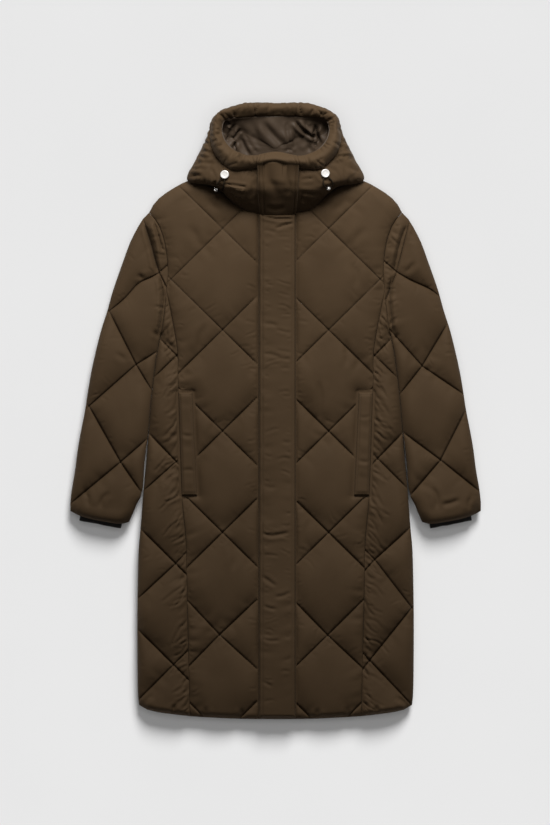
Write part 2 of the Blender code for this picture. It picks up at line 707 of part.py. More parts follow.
def station_at_x(rings, x):
    """The station in front of the chin where the valley ring is at this x."""
    low, high = 0.0, 3.0
    for _ in range(40):
        middle = (low + high) / 2
        low, high = (middle, high) if rings.at(middle)[2][0] < abs(x) else (low, middle)
    return math.copysign(low, x)


def hood_walls(rings, first, last):
    """Closed sections of the hood's padded wall between two stations."""
    outer, normal = rings.grid(rings.stations_between(first, last))
    return [list(o) + list((o - n * HOOD_WALL)[::-1]) for o, n in zip(outer, normal)]


def rim_sections(rings, first, last, lift=0.0):
    """Closed sections of the padded roll round the face opening."""
    stations = rings.stations_between(first, last)
    outer, normal = rings.grid(stations)
    sections = []
    for s, o, n in zip(stations, outer, normal):
        up = (o[-1] - o[-2]) / np.linalg.norm(o[-1] - o[-2]) * RIM_GAP
        _, _, valley, crest, lip = rings.at(s)[:5]
        crest = crest + np.array([0, 0, lift])
        arc = [catmull_rom([valley + up, crest, lip], k / CREST_STEPS) for k in range(2 * CREST_STEPS + 1)]
        sections.append(arc + [o[-1] - n[-1] * HOOD_WALL + up])
    return sections


def make_hood(collection):
    """The hood: padded side, top and back pieces, the rim's roll and the lining."""
    rings = HoodRings()
    seam_gap = station_gap(rings, HOOD_SEAM_STATION)
    chin_gap = station_gap(rings, 0.5)
    for side, word in ((-1, "left"), (1, "right")):
        walls = loft(hood_walls(rings, chin_gap, HOOD_SEAM_STATION - seam_gap))
        finish_side(f"hood_side_{word}", walls, side, collection)
        edge = (PLACKET_RIGHT if side > 0 else -PLACKET_LEFT) + COLLAR_LAP_MARGIN
        start = station_at_x(rings, edge) + chin_gap
        roll_part = loft(rim_sections(rings, start, HOOD_SEAM_STATION - seam_gap))
        finish_side(f"hood_rim_{word}", roll_part, side, collection)
    past_top = 2 * TOP_STATION - HOOD_SEAM_STATION - seam_gap
    top = loft(hood_walls(rings, HOOD_SEAM_STATION + seam_gap, past_top))
    object_from("hood_top", top, SHELL, collection)
    rim_top = loft(rim_sections(rings, HOOD_SEAM_STATION + seam_gap, past_top))
    object_from("hood_rim_top", rim_top, SHELL, collection)
    right = smooth_line(HOOD_BACK_OUTLINE, 14.0)
    bottom = [np.array([x, HOOD_BACK_OUTLINE[0][1]]) for x in np.linspace(-104, 104, 13)[1:-1]]
    outline = bottom + right + mirrored(right[:-1][::-1], -1)
    object_from("hood_back", slab_mesh(outline, HOOD_BACK_THICK, HOOD_BACK_ROWS), SHELL, collection)
    make_collar_placket(rings, collection)
    make_lining(rings, collection)


def make_collar_placket(rings, collection):
    """The placket's upper part, which laps over the collar and ends in the rim at the chin."""
    first = station_at_x(rings, PLACKET_LEFT - COLLAR_LAP_MARGIN) + station_gap(rings, 0.5)
    last = station_at_x(rings, PLACKET_RIGHT + COLLAR_LAP_MARGIN) - station_gap(rings, 0.5)
    stations = rings.stations_between(first, last)
    outer, normal = rings.grid([abs(s) for s in stations])
    sections = []
    rims = rim_sections(rings, first, last, COLLAR_LAP_LIFT)
    for s, o, n, rim in zip(stations, outer, normal, rims):
        if s < 0:
            o, n = o * [-1, 1, 1], n * [-1, 1, 1]
        under = [p + m * LAYER_GAP for p, m in zip(o[COLLAR_LAP_STEP:], n[COLLAR_LAP_STEP:])]
        over = [p + m * COLLAR_LAP_THICK for p, m in zip(o[COLLAR_LAP_STEP:-1], n[COLLAR_LAP_STEP:-1])]
        sections.append(over + rim[1:] + under[::-1])
    object_from("collar_placket", loft(sections), SHELL, collection)


def make_lining(rings, collection):
    """The hood's lining: a thin bowl hung from the rim's inner edge."""
    stations = [k / 2 for k in range(4 * TOP_STATION)]
    bm = bmesh.new()
    layers = []
    for thick in (0.0, LINING_THICK):
        loops = []
        for k in range(LINING_STEPS + 1):
            loop = []
            for s in stations:
                s = s if s <= TOP_STATION else s - 2 * TOP_STATION
                lip, pouch, floor = rings.at(s)[4:7]
                lip = lip - np.array([0, 0, LINING_DROP])
                p = catmull_rom([lip, pouch, floor], 2 * k / LINING_STEPS)
                inward = np.array(HOOD_HOLLOW_MIDDLE) - p[:2]
                inward = inward / np.linalg.norm(inward)
                lift = thick if k == LINING_STEPS else 0.0
                loop.append(bm.verts.new((p[0] + inward[0] * thick, p[1] + inward[1] * thick, p[2] + lift)))
            loops.append(loop)
        layers.append(loops)
    for loops in layers:
        for a, b in zip(loops, loops[1:]):
            for k in range(len(a)):
                n = (k + 1) % len(a)
                bm.faces.new((a[k], a[n], b[n], b[k]))
        low = loops[-1]
        bm.faces.new(low)
    first, second = layers[0][0], layers[1][0]
    for k in range(len(first)):
        n = (k + 1) % len(first)
        bm.faces.new((first[k], first[n], second[n], second[k]))
    bmesh.ops.triangulate(bm, faces=[f for f in bm.faces if len(f.verts) > 4])
    object_from("hood_lining", bm, LINING, collection)


def turned_to(made, place, axis):
    """Put an object at a place with its Z along an axis."""
    made.location = Vector(place) * MM
    made.rotation_mode = "QUATERNION"
    made.rotation_quaternion = Vector(axis).to_track_quat("Z", "Y")


def make_cord_fittings(collection):
    """On each side a round cord stop, the elastic loop below it and the loop's ferrule."""
    rings = HoodRings()
    for word, (x, y) in STOP_PLACES.items():
        place, normal = rings.over(x, y, STOP_LIFT + STOP_HEIGHT / 2)
        bpy.ops.mesh.primitive_cylinder_add(vertices=24, radius=STOP_RADIUS * MM, depth=STOP_HEIGHT * MM)
        stop = bpy.context.object
        stop.name = f"cord_stop_{word}"
        turned_to(stop, place, normal)
        into(stop, collection)
        stop.data.materials.append(material_of(STOP))
        rounding = stop.modifiers.new("rounding", "BEVEL")
        rounding.width = STOP_BEVEL * MM
        rounding.segments = 2
        stop.data.shade_smooth()
        points = loop_points(rings, word)
        make_loop(f"cord_loop_{word}", points, collection)
        middle = round(FERRULE_PLACES[word] * (len(points) - 1))
        make_ferrule(f"cord_end_{word}", points[middle], points[middle + 1] - points[middle - 1], collection)


def loop_points(rings, word):
    """The cord's points over the hood's wall, lifted where the ferrule holds it off the cloth."""
    route = LOOP_ROUTES[word]
    places = []
    for k, (x, y) in enumerate(route):
        near = math.exp(-(((k / (len(route) - 1) - FERRULE_PLACES[word]) / FERRULE_SPREAD) ** 2))
        places.append(rings.over(x, y, CORD_RADIUS + CORD_LIFT + FERRULE_LIFT * near)[0])
    return smooth_line(places, CORD_POINT_STEP)


def make_loop(name, points, collection):
    """An elastic cord through the points."""
    curve = bpy.data.curves.new(name, "CURVE")
    curve.dimensions = "3D"
    spline = curve.splines.new("POLY")
    spline.points.add(len(points) - 1)
    for control, p in zip(spline.points, points):
        control.co = (*(p * MM), 1.0)
    curve.bevel_depth = CORD_RADIUS * MM
    curve.bevel_resolution = 2
    curve.use_fill_caps = True
    curve.materials.append(material_of(CORD))
    collection.objects.link(bpy.data.objects.new(name, curve))


def make_ferrule(name, place, axis, collection):
    """A turned metal ferrule round the cord."""
    mesh = bpy.data.meshes.new(name)
    count = len(FERRULE_PROFILE)
    rows = [(r * MM, 0.0, z * MM) for r, z in reversed(FERRULE_PROFILE)]
    mesh.from_pydata(rows, [(k, (k + 1) % count) for k in range(count)], [])
    mesh.materials.append(material_of(FERRULE))
    made = bpy.data.objects.new(name, mesh)
    turned_to(made, place, axis)
    turn = made.modifiers.new("turn", "SCREW")
    turn.steps = turn.render_steps = FERRULE_STEPS
    turn.use_merge_vertices = True
    turn.merge_threshold = 0.00001
    collection.objects.link(made)


def main():
    """Build the coat's pieces in their collection."""
    clear_scene()
    coat = collection_named("long_puffer_coat")
    collection_named("cutters")
    make_back(coat)
    make_fronts(coat)
    make_sleeves(coat)
    make_knit_cuffs(coat)
    make_strips(coat)
    make_hood(coat)
    make_cord_fittings(coat)


main()
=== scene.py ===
"""Dress the long puffer coat: quilted shell, knitted cuffs, lined hood and cord fittings.

The coat lies on its back: +X runs across it, +Y from the hem to the hood and +Z up from
the surface. Sizes are in millimetres and are turned into metres as each mesh is made.
"""

import logging
import math
from dataclasses import dataclass, field, replace
from enum import Enum
from typing import Sequence

import bmesh
import bpy
import numpy as np
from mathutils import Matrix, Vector
from mathutils.geometry import delaunay_2d_cdt


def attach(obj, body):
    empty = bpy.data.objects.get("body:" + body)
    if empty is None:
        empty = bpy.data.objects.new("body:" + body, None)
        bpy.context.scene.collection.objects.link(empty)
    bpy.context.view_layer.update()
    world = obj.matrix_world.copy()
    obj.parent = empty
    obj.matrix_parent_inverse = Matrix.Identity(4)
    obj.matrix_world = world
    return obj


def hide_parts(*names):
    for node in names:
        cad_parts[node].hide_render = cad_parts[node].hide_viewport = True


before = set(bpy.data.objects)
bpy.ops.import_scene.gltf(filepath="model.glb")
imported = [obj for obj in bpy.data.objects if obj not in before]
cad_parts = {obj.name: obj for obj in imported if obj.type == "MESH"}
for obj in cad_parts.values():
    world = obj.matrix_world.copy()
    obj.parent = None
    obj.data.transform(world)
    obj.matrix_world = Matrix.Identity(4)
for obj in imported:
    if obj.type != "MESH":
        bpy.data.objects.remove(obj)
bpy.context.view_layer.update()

LOG = logging.getLogger("coat")
MM = 0.001
Array = np.ndarray
Rows = Sequence[Sequence[float]]
Faces = Sequence[Sequence[int]]
Colour = tuple[float, float, float]
Piece = bpy.types.Object
Socket = bpy.types.NodeSocket


class Side(Enum):
    """The two halves of the coat."""

    LEFT = "left"
    RIGHT = "right"

    @property
    def sign(self) -> int:
        """1 on +X and -1 on -X."""
        return 1 if self is Side.RIGHT else -1


# ---- smooth lines


def curve_point(rows: Array, at: Array) -> Array:
    """Points on a smooth curve through rows, one unit a row.

    Args:
        rows: the curve's own points, along the first axis.
        at: places along it, from 0 to the number of rows less one.

    Returns:
        One point for each place, along the first axes.
    """
    rows, at = np.asarray(rows, float), np.asarray(at, float)
    padded = np.concatenate([2 * rows[:1] - rows[1:2], rows, 2 * rows[-1:] - rows[-2:-1]])
    first = np.clip(np.floor(at).astype(int), 0, len(rows) - 2)
    t = (at - first).reshape(at.shape + (1,) * (rows.ndim - 1))
    return catmull_rom([padded[first + k] for k in range(4)], t)


def catmull_rom(four: Sequence[Array], t: Array) -> Array:
    """The point a share t of the way from the second to the third of four rows.

    Args:
        four: the four rows, in order.
        t: the share of the way.

    Returns:
        The point.
    """
    before, start, end, after = four
    square = (2 * before - 5 * start + 4 * end - after) * t * t
    cube = (3 * start - before - 3 * end + after) * t**3
    return 0.5 * (2 * start + (end - before) * t + square + cube)


def run_lengths(line: Array) -> Array:
    """The length along a line at each of its points."""
    return np.concatenate([[0.0], np.cumsum(np.linalg.norm(np.diff(line, axis=0), axis=1))])


def point_at(line: Array, lengths: Array, place: float | Array) -> Array:
    """The point at a length along a line, whose own points lie at these lengths."""
    return np.array([np.interp(place, lengths, column) for column in line.T])


def smooth_line(rows: Rows, step: float) -> Array:
    """Points about a step apart along a smooth curve, ends included.

    Args:
        rows: the curve's own points.
        step: the distance between points.

    Returns:
        One point a row.
    """
    spans, parts = len(rows) - 1, 40
    fine = curve_point(rows, np.linspace(0, spans, parts * spans + 1))
    lengths = run_lengths(fine)
    count = max(1, round(lengths[-1] / step))
    wanted = [lengths[-1] * k / count for k in range(count + 1)]
    return fine[np.minimum(np.searchsorted(lengths, wanted), len(fine) - 1)]


def straight(a: Array, b: Array, step: float) -> Array:
    """Points about a step apart along a straight line, ends included."""
    count = max(1, round(float(np.linalg.norm(b - a)) / step))
    return a + (b - a) * (np.arange(count + 1) / count)[:, None]


def joined(*lines: Array) -> Array:
    """One closed outline from lines that meet end to start."""
    return np.concatenate([line[:-1] for line in lines])


def looped(loop: Array) -> Array:
    """A closed loop's points with the first one again at the end."""
    return np.concatenate([loop, loop[:1]])


def inset(loop: Array, distance: float) -> Array:
    """The loop moved inwards.

    Args:
        loop: its points, in either order.
        distance: how far each edge moves.

    Returns:
        The moved points, which run anticlockwise.
    """
    after = np.roll(loop, -1, axis=0)
    if (loop[:, 0] * after[:, 1] - after[:, 0] * loop[:, 1]).sum() < 0:
        loop = loop[::-1]
    runs = (loop - np.roll(loop, 1, axis=0), np.roll(loop, -1, axis=0) - loop)
    first, second = (run / np.linalg.norm(run, axis=1)[:, None] for run in runs)
    bisector = np.stack([-(first + second)[:, 1], (first + second)[:, 0]], axis=1)
    bisector /= np.maximum(np.linalg.norm(bisector, axis=1), 1e-6)[:, None]
    least = 0.45  # keeps the point of a sharp corner near it
    share = np.maximum(least, bisector[:, 1] * first[:, 0] - bisector[:, 0] * first[:, 1])
    return loop + bisector * (distance / share)[:, None]


def track(points: Array, line: Array) -> tuple[Array, Array]:
    """How each point lies beside an open line.

    Args:
        points: places (x, y), one a row.
        line: the line's points (x, y), in order.

    Returns:
        The distance to the line, positive on its left, and the length along the line
        at the nearest point.
    """
    best = np.full(len(points), 1e9)
    along, hand = np.zeros(len(points)), np.ones(len(points))
    run_before = 0.0
    for a, b in zip(line, line[1:]):
        run = b - a
        length = float(np.linalg.norm(run))
        if length < 1e-9:
            continue
        away = points - a
        t = np.clip(away @ run / length**2, 0, 1)
        gap = np.linalg.norm(away - t[:, None] * run, axis=1)
        nearer = gap < best
        best = np.where(nearer, gap, best)
        along = np.where(nearer, run_before + t * length, along)
        hand = np.where(nearer, np.sign(run[0] * away[:, 1] - run[1] * away[:, 0]), hand)
        run_before += length
    return best * np.where(hand < 0, -1.0, 1.0), along


def distances(points: Array, line: Array) -> Array:
    """How far each point is from the nearest part of an open line."""
    return np.abs(track(points, line)[0])


def inside(points: Array, loop: Array) -> Array:
    """Which points lie inside a closed loop.

    Args:
        points: the points (x, y).
        loop: the loop's corners (x, y), in order.

    Returns:
        True for each point inside.
    """
    held, (x, y) = np.zeros(len(points), bool), points.T
    for a, b in zip(loop, np.roll(loop, -1, axis=0)):
        if a[1] != b[1]:
            crosses = (a[1] > y) != (b[1] > y)
            held ^= crosses & (x < (b[0] - a[0]) * (y - a[1]) / (b[1] - a[1]) + a[0])
    return held


def roll(distance: Array, width: float) -> Array:
    """From 0 at an edge to 1 a width away, rising as a quarter circle."""
    t = np.clip(distance / width, 0, 1)
    return np.sqrt(1 - (1 - t) ** 2)


def ease(t: Array) -> Array:
    """From 0 to 1 with a soft start and end."""
    t = np.clip(t, 0, 1)
    return t * t * (3 - 2 * t)


@dataclass(frozen=True)
class Waver:
    """Smooth uneven waves from -1 to 1, one swing a unit and the same on each run."""

    seed: int
    size: int = 64
    swings: int = 997

    def along(self, place: Array) -> Array:
        """The wave's height at places along a line.

        Args:
            place: the places along the line, in millimetres.

        Returns:
            The height at each.
        """
        table = np.random.RandomState(self.seed).uniform(-1, 1, self.swings)
        first = np.floor(place).astype(int)
        t = ease(place - first)
        return table[first % self.swings] * (1 - t) + table[(first + 1) % self.swings] * t

    def over(self, x: Array, y: Array) -> Array:
        """The wave's height at places on a plane.

        Args:
            x: the places across.
            y: the places along.

        Returns:
            The height at each.
        """
        n = self.size
        table = np.random.RandomState(self.seed).uniform(-1, 1, (n, n))
        i, j = np.floor(x).astype(int), np.floor(y).astype(int)
        u, v = ease(x - i), ease(y - j)
        low, high = (table[i % n, k % n] * (1 - u) + table[(i + 1) % n, k % n] * u for k in (j, j + 1))
        return low * (1 - v) + high * v


# ---- finishes


class Graph:
    """One material's nodes, with its places taken from the coat's own frame."""

    def __init__(self, name: str) -> None:
        """Start a material that has a Principled shader.

        Args:
            name: the material's name.
        """
        self.material = bpy.data.materials.new(name)
        self.material.use_nodes = True
        self.tree = self.material.node_tree
        self.shader = self.tree.nodes["Principled BSDF"]
        self.place = self.add("ShaderNodeTexCoord").outputs["Object"]

    def add(self, kind: str, inputs: dict | None = None, **settings: str) -> bpy.types.Node:
        """Add a node.

        Args:
            kind: the node's Blender type.
            inputs: values or sockets for its inputs, by name or number.
            settings: values of the node's own properties.

        Returns:
            The new node.
        """
        node = self.tree.nodes.new(kind)
        for name, value in settings.items():
            setattr(node, name, value)
        for name, value in (inputs or {}).items():
            self.put(node.inputs[name], value)
        return node

    def put(self, socket: Socket, value: object) -> None:
        """Set a socket, or link it where the value is another socket.

        Args:
            socket: the socket to set.
            value: a plain value, or the socket to link from.
        """
        if isinstance(value, Socket):
            self.tree.links.new(value, socket)
        else:
            socket.default_value = value

    def noise(self, scale: float, detail: float, stretch: Sequence[float] = (1, 1, 1)) -> Socket:
        """Cloudy noise at a number of spots a metre."""
        place = self.add("ShaderNodeMapping", {"Vector": self.place, "Scale": stretch}).outputs[0]
        return self.add("ShaderNodeTexNoise", {"Vector": place, "Scale": scale, "Detail": detail}).outputs[0]

    def waves(self, scale: float, direction: str) -> Socket:
        """Straight waves across one axis."""
        settings = {"wave_type": "BANDS", "bands_direction": direction, "wave_profile": "SIN"}
        return self.add("ShaderNodeTexWave", {"Vector": self.place, "Scale": scale}, **settings).outputs[1]

    def ramp(self, factor: Socket, dark: Colour, light: Colour, edge: float) -> Socket:
        """A colour ramp, dark up to an edge and light from as far below 1.

        Args:
            factor: what runs through the ramp.
            dark: the colour up to the edge.
            light: the colour above it.
            edge: where the dark ends, from 0 to 1.

        Returns:
            The ramp's colour.
        """
        node = self.add("ShaderNodeValToRGB", {0: factor})
        for element, place, colour in zip(node.color_ramp.elements, (edge, 1 - edge), (dark, light)):
            element.position, element.color = place, (*colour, 1.0)
        return node.outputs[0]

    def bump(self, height: Socket, distance: float, normal: Socket | None = None) -> Socket:
        """A surface raised by a height in millimetres, over another one where it is given.

        Args:
            height: the height's socket.
            distance: how deep a height of 1 is, in millimetres.
            normal: the surface under it, where there is one.

        Returns:
            The raised surface's normal.
        """
        inputs = {"Height": height, "Distance": distance * MM, "Strength": 1.0}
        if normal is not None:
            inputs["Normal"] = normal
        return self.add("ShaderNodeBump", inputs).outputs[0]

    def shade(self, values: dict[str, object]) -> bpy.types.Material:
        """Set the shader's inputs by name and return the material.

        Args:
            values: the shader's inputs, by name.

        Returns:
            The material.
        """
        for name, value in values.items():
            self.put(self.shader.inputs[name], value)
        return self.material


@dataclass(frozen=True)
class Relief:
    """One layer of fine relief: waves across an axis, or noise where no axis is named."""

    scale: float
    height: float
    axis: str = ""
    stretch: Sequence[float] = (1, 1, 1)
    detail: float = 3.0

    def lay(self, graph: Graph, under: Socket | None) -> Socket:
        """Add the layer over another one.

        Args:
            graph: the material's graph.
            under: the layer under it.

        Returns:
            The layers' normal together.
        """
        if self.axis:
            return graph.bump(graph.waves(self.scale, self.axis), self.height, under)
        return graph.bump(graph.noise(self.scale, self.detail, self.stretch), self.height, under)


@dataclass(frozen=True)
class Finish:
    """A finish that pieces share: its name, record slot, two colours in small clouds, and relief."""

    name: str
    slot: str
    dark: Colour
    light: Colour
    roughness: float
    clouds: tuple[float, float]
    relief: tuple[Relief, ...]
    shine: dict[str, object] = field(default_factory=dict)
    cloud_edge: float = 0.3
    uneven: float = 0.0
    uneven_scale: float = 30.0

    def material(self) -> bpy.types.Material:
        """The finish's material, made once."""
        return bpy.data.materials.get(self.name) or self.make()

    def make(self) -> bpy.types.Material:
        """Build the material.

        Returns:
            The new material.
        """
        graph, roughness, normal = Graph(self.name), self.roughness, None
        colour = graph.ramp(graph.noise(*self.clouds), self.dark, self.light, self.cloud_edge)
        if self.uneven:
            limits = {3: roughness - self.uneven, 4: roughness + self.uneven}
            spots = graph.noise(self.uneven_scale, 2)
            roughness = graph.add("ShaderNodeMapRange", {0: spots} | limits).outputs[0]
        for layer in self.relief:
            normal = layer.lay(graph, normal)
        return graph.shade({"Base Color": colour, "Roughness": roughness, "Normal": normal} | self.shine)


# Tightly woven, softly shining nylon with fine crinkles.
SHELL = Finish(
    "shell_nylon", "shell_fabric", (0.058, 0.0355, 0.0178), (0.070, 0.0435, 0.0225), 0.72, (9, 3),
    (Relief(55, 0.35, stretch=(1, 0.7, 1)), Relief(700, 0.02, "X"), Relief(700, 0.02, "Y")),
    {
        "Specular IOR Level": 0.08, "Sheen Weight": 0.05, "Sheen Roughness": 0.5,
        "Sheen Tint": (0.9, 0.7, 0.5, 1.0),
    },
    uneven=0.05,
)
# Thin shining lining cloth.
LINING = Finish(
    "satin_lining_cloth", "lining_satin", (0.048, 0.033, 0.0215), (0.064, 0.044, 0.029), 0.5, (14, 3),
    (Relief(90, 0.35, stretch=(1, 0.5, 1)), Relief(900, 0.015, "X")), {"Specular IOR Level": 0.12},
)
# Fine knitted yarn; the ribs themselves are modelled.
KNIT = Finish(
    "black_rib_knit", "black_knit", (0.009, 0.008, 0.007), (0.020, 0.017, 0.015), 0.85, (300, 2),
    (Relief(260, 0.25, "Y"), Relief(900, 0.12)),
    {"Specular IOR Level": 0.2, "Sheen Weight": 0.4, "Sheen Roughness": 0.6},
)
# Hard smooth enamel over metal.
ENAMEL = Finish(
    "satin_white_enamel", "stop_enamel", (0.74, 0.72, 0.68), (0.82, 0.80, 0.77), 0.28, (120, 2),
    (Relief(500, 0.02),), {"Metallic": 0.15, "Coat Weight": 0.3}, cloud_edge=0.35,
)
# A braided elastic cord.
CORD = Finish(
    "braided_elastic", "elastic_cord", (0.017, 0.012, 0.007), (0.030, 0.021, 0.012), 0.8, (700, 2),
    (Relief(420, 0.15, "DIAGONAL"),), {"Specular IOR Level": 0.1},
)
# Bright turned metal with fine scratches.
METAL = Finish(
    "bright_turned_metal", "ferrule_metal", (0.70, 0.68, 0.65), (0.84, 0.82, 0.79), 0.35, (200, 2),
    (Relief(900, 0.01, stretch=(1, 8, 1), detail=2),), {"Metallic": 0.4},
)
# Sewing thread with a twist.
THREAD = Finish(
    "sewing_thread", "shell_fabric", (0.030, 0.020, 0.012), (0.044, 0.030, 0.018), 0.7, (400, 1),
    (Relief(900, 0.05, "DIAGONAL"),),
)


# ---- pieces


def make_piece(name: str, points: Array, faces: Faces, finish: Finish, node: str | None = None,
               sharp: float = 50.0) -> Piece:
    """Make one piece of the coat that rides on its body.

    Args:
        name: the piece's name.
        points: its points in millimetres.
        faces: the points' numbers round each face.
        finish: what it is made of.
        node: the solid that it stands for, if it does.
        sharp: edges that turn more than this many degrees stay crisp.

    Returns:
        The new object.
    """
    mesh = bpy.data.meshes.new(name)
    mesh.from_pydata((np.asarray(points) * MM).tolist(), [], [tuple(int(i) for i in f) for f in faces])
    mesh.validate()
    mesh.shade_smooth()
    mesh.set_sharp_from_angle(angle=math.radians(sharp))
    return settle(name, mesh, finish, node)


def settle(name: str, data: bpy.types.ID, finish: Finish, node: str | None) -> Piece:
    """Put a piece's mesh or curve on the coat's body in its finish, in place of the solid it stands for.

    Args:
        name: the piece's name.
        data: its mesh or curve.
        finish: its finish.
        node: the solid that it stands for.

    Returns:
        The piece.
    """
    data.materials.append(finish.material())
    made = bpy.data.objects.new(name, data)
    bpy.context.scene.collection.objects.link(made)
    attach(made, "root")
    if node:
        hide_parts(node)
    return made


def padded(pieces: Sequence[Piece], fill: float) -> list[Piece]:
    """The pieces, as a list.

    Args:
        pieces: the pieces.
        fill: how full they are, from 0 to 1; not used.

    Returns:
        The same pieces.
    """
    return list(pieces)


def grid_faces(rows: int, columns: int, closed: bool = False) -> list[tuple[int, ...]]:
    """The faces between the points of a grid, as four point numbers each.

    Args:
        rows: how many rows it has.
        columns: how many points each row has.
        closed: whether each row is a ring.

    Returns:
        The faces.
    """
    faces = []
    for r in range(rows - 1):
        for c in range(columns if closed else columns - 1):
            n = (c + 1) % columns
            faces.append((r * columns + c, r * columns + n, (r + 1) * columns + n, (r + 1) * columns + c))
    return faces


def tube_faces(rows: int, columns: int) -> list[tuple[int, ...]]:
    """The faces round a tube of rings, with a cap at both ends.

    Args:
        rows: how many rings there are.
        columns: how many points each ring has.

    Returns:
        The faces.
    """
    last = rows * columns
    caps = [tuple(range(columns)), tuple(range(last - 1, last - columns - 1, -1))]
    return grid_faces(rows, columns, closed=True) + caps


def skirt_faces(ring: Sequence[int], start: int) -> list[tuple[int, ...]]:
    """The faces from a ring of points to as many more, numbered from a start."""
    count = len(ring)
    return [(ring[k], ring[(k + 1) % count], start + (k + 1) % count, start + k) for k in range(count)]


def outward_faces(points: Array, faces: Faces) -> Faces:
    """The faces turned so that they all look outwards.

    Args:
        points: the mesh's points.
        faces: its faces, in any order of turn.

    Returns:
        The turned faces.
    """
    bm = bmesh.new()
    verts = [bm.verts.new(p) for p in points]
    for face in faces:
        bm.faces.new([verts[i] for i in face])
    bm.verts.index_update()
    bmesh.ops.recalc_face_normals(bm, faces=bm.faces)
    turned = [tuple(v.index for v in f.verts) for f in bm.faces]
    bm.free()
    return turned


def split_faces(points: Array, faces: Array, parts: int) -> tuple[Array, Array]:
    """Cut every triangle into parts by parts smaller ones.

    Args:
        points: the corners (x, y), one a row.
        faces: three corner numbers a row.
        parts: how many lengths each edge is cut into.

    Returns:
        The new corners and the new triangles.
    """
    place = [(i, j) for i in range(parts + 1) for j in range(parts + 1 - i)]
    number = {ij: k for k, ij in enumerate(place)}
    weights = np.array([((parts - i - j) / parts, i / parts, j / parts) for i, j in place])
    spread = np.einsum("kc,fcd->fkd", weights, points[faces]).reshape(-1, points.shape[1])
    local = []
    for i, j in place:
        if i + j < parts:
            local.append((number[i, j], number[i + 1, j], number[i, j + 1]))
        if i + j < parts - 1:
            local.append((number[i + 1, j], number[i + 1, j + 1], number[i, j + 1]))
    every = (np.arange(len(faces)) * len(place))[:, None, None] + np.array(local)[None]
    _, first, back = np.unique(np.round(spread, 3), axis=0, return_index=True, return_inverse=True)
    return spread[first], back.reshape(-1)[every.reshape(-1, 3)]


def boundary(faces: Array) -> list[int]:
    """The point numbers round the one open edge of a triangle mesh, in order.

    Args:
        faces: the mesh's triangles, as point numbers.

    Returns:
        The edge's point numbers.
    """
    edges = np.concatenate([faces[:, [0, 1]], faces[:, [1, 2]], faces[:, [2, 0]]])
    keys = {(int(a), int(b)) for a, b in edges}
    after = {a: b for a, b in keys if (b, a) not in keys}
    start = here = next(iter(after))
    ring = []
    while True:
        ring.append(here)
        here = after[here]
        if here == start:
            return ring


# ---- quilting


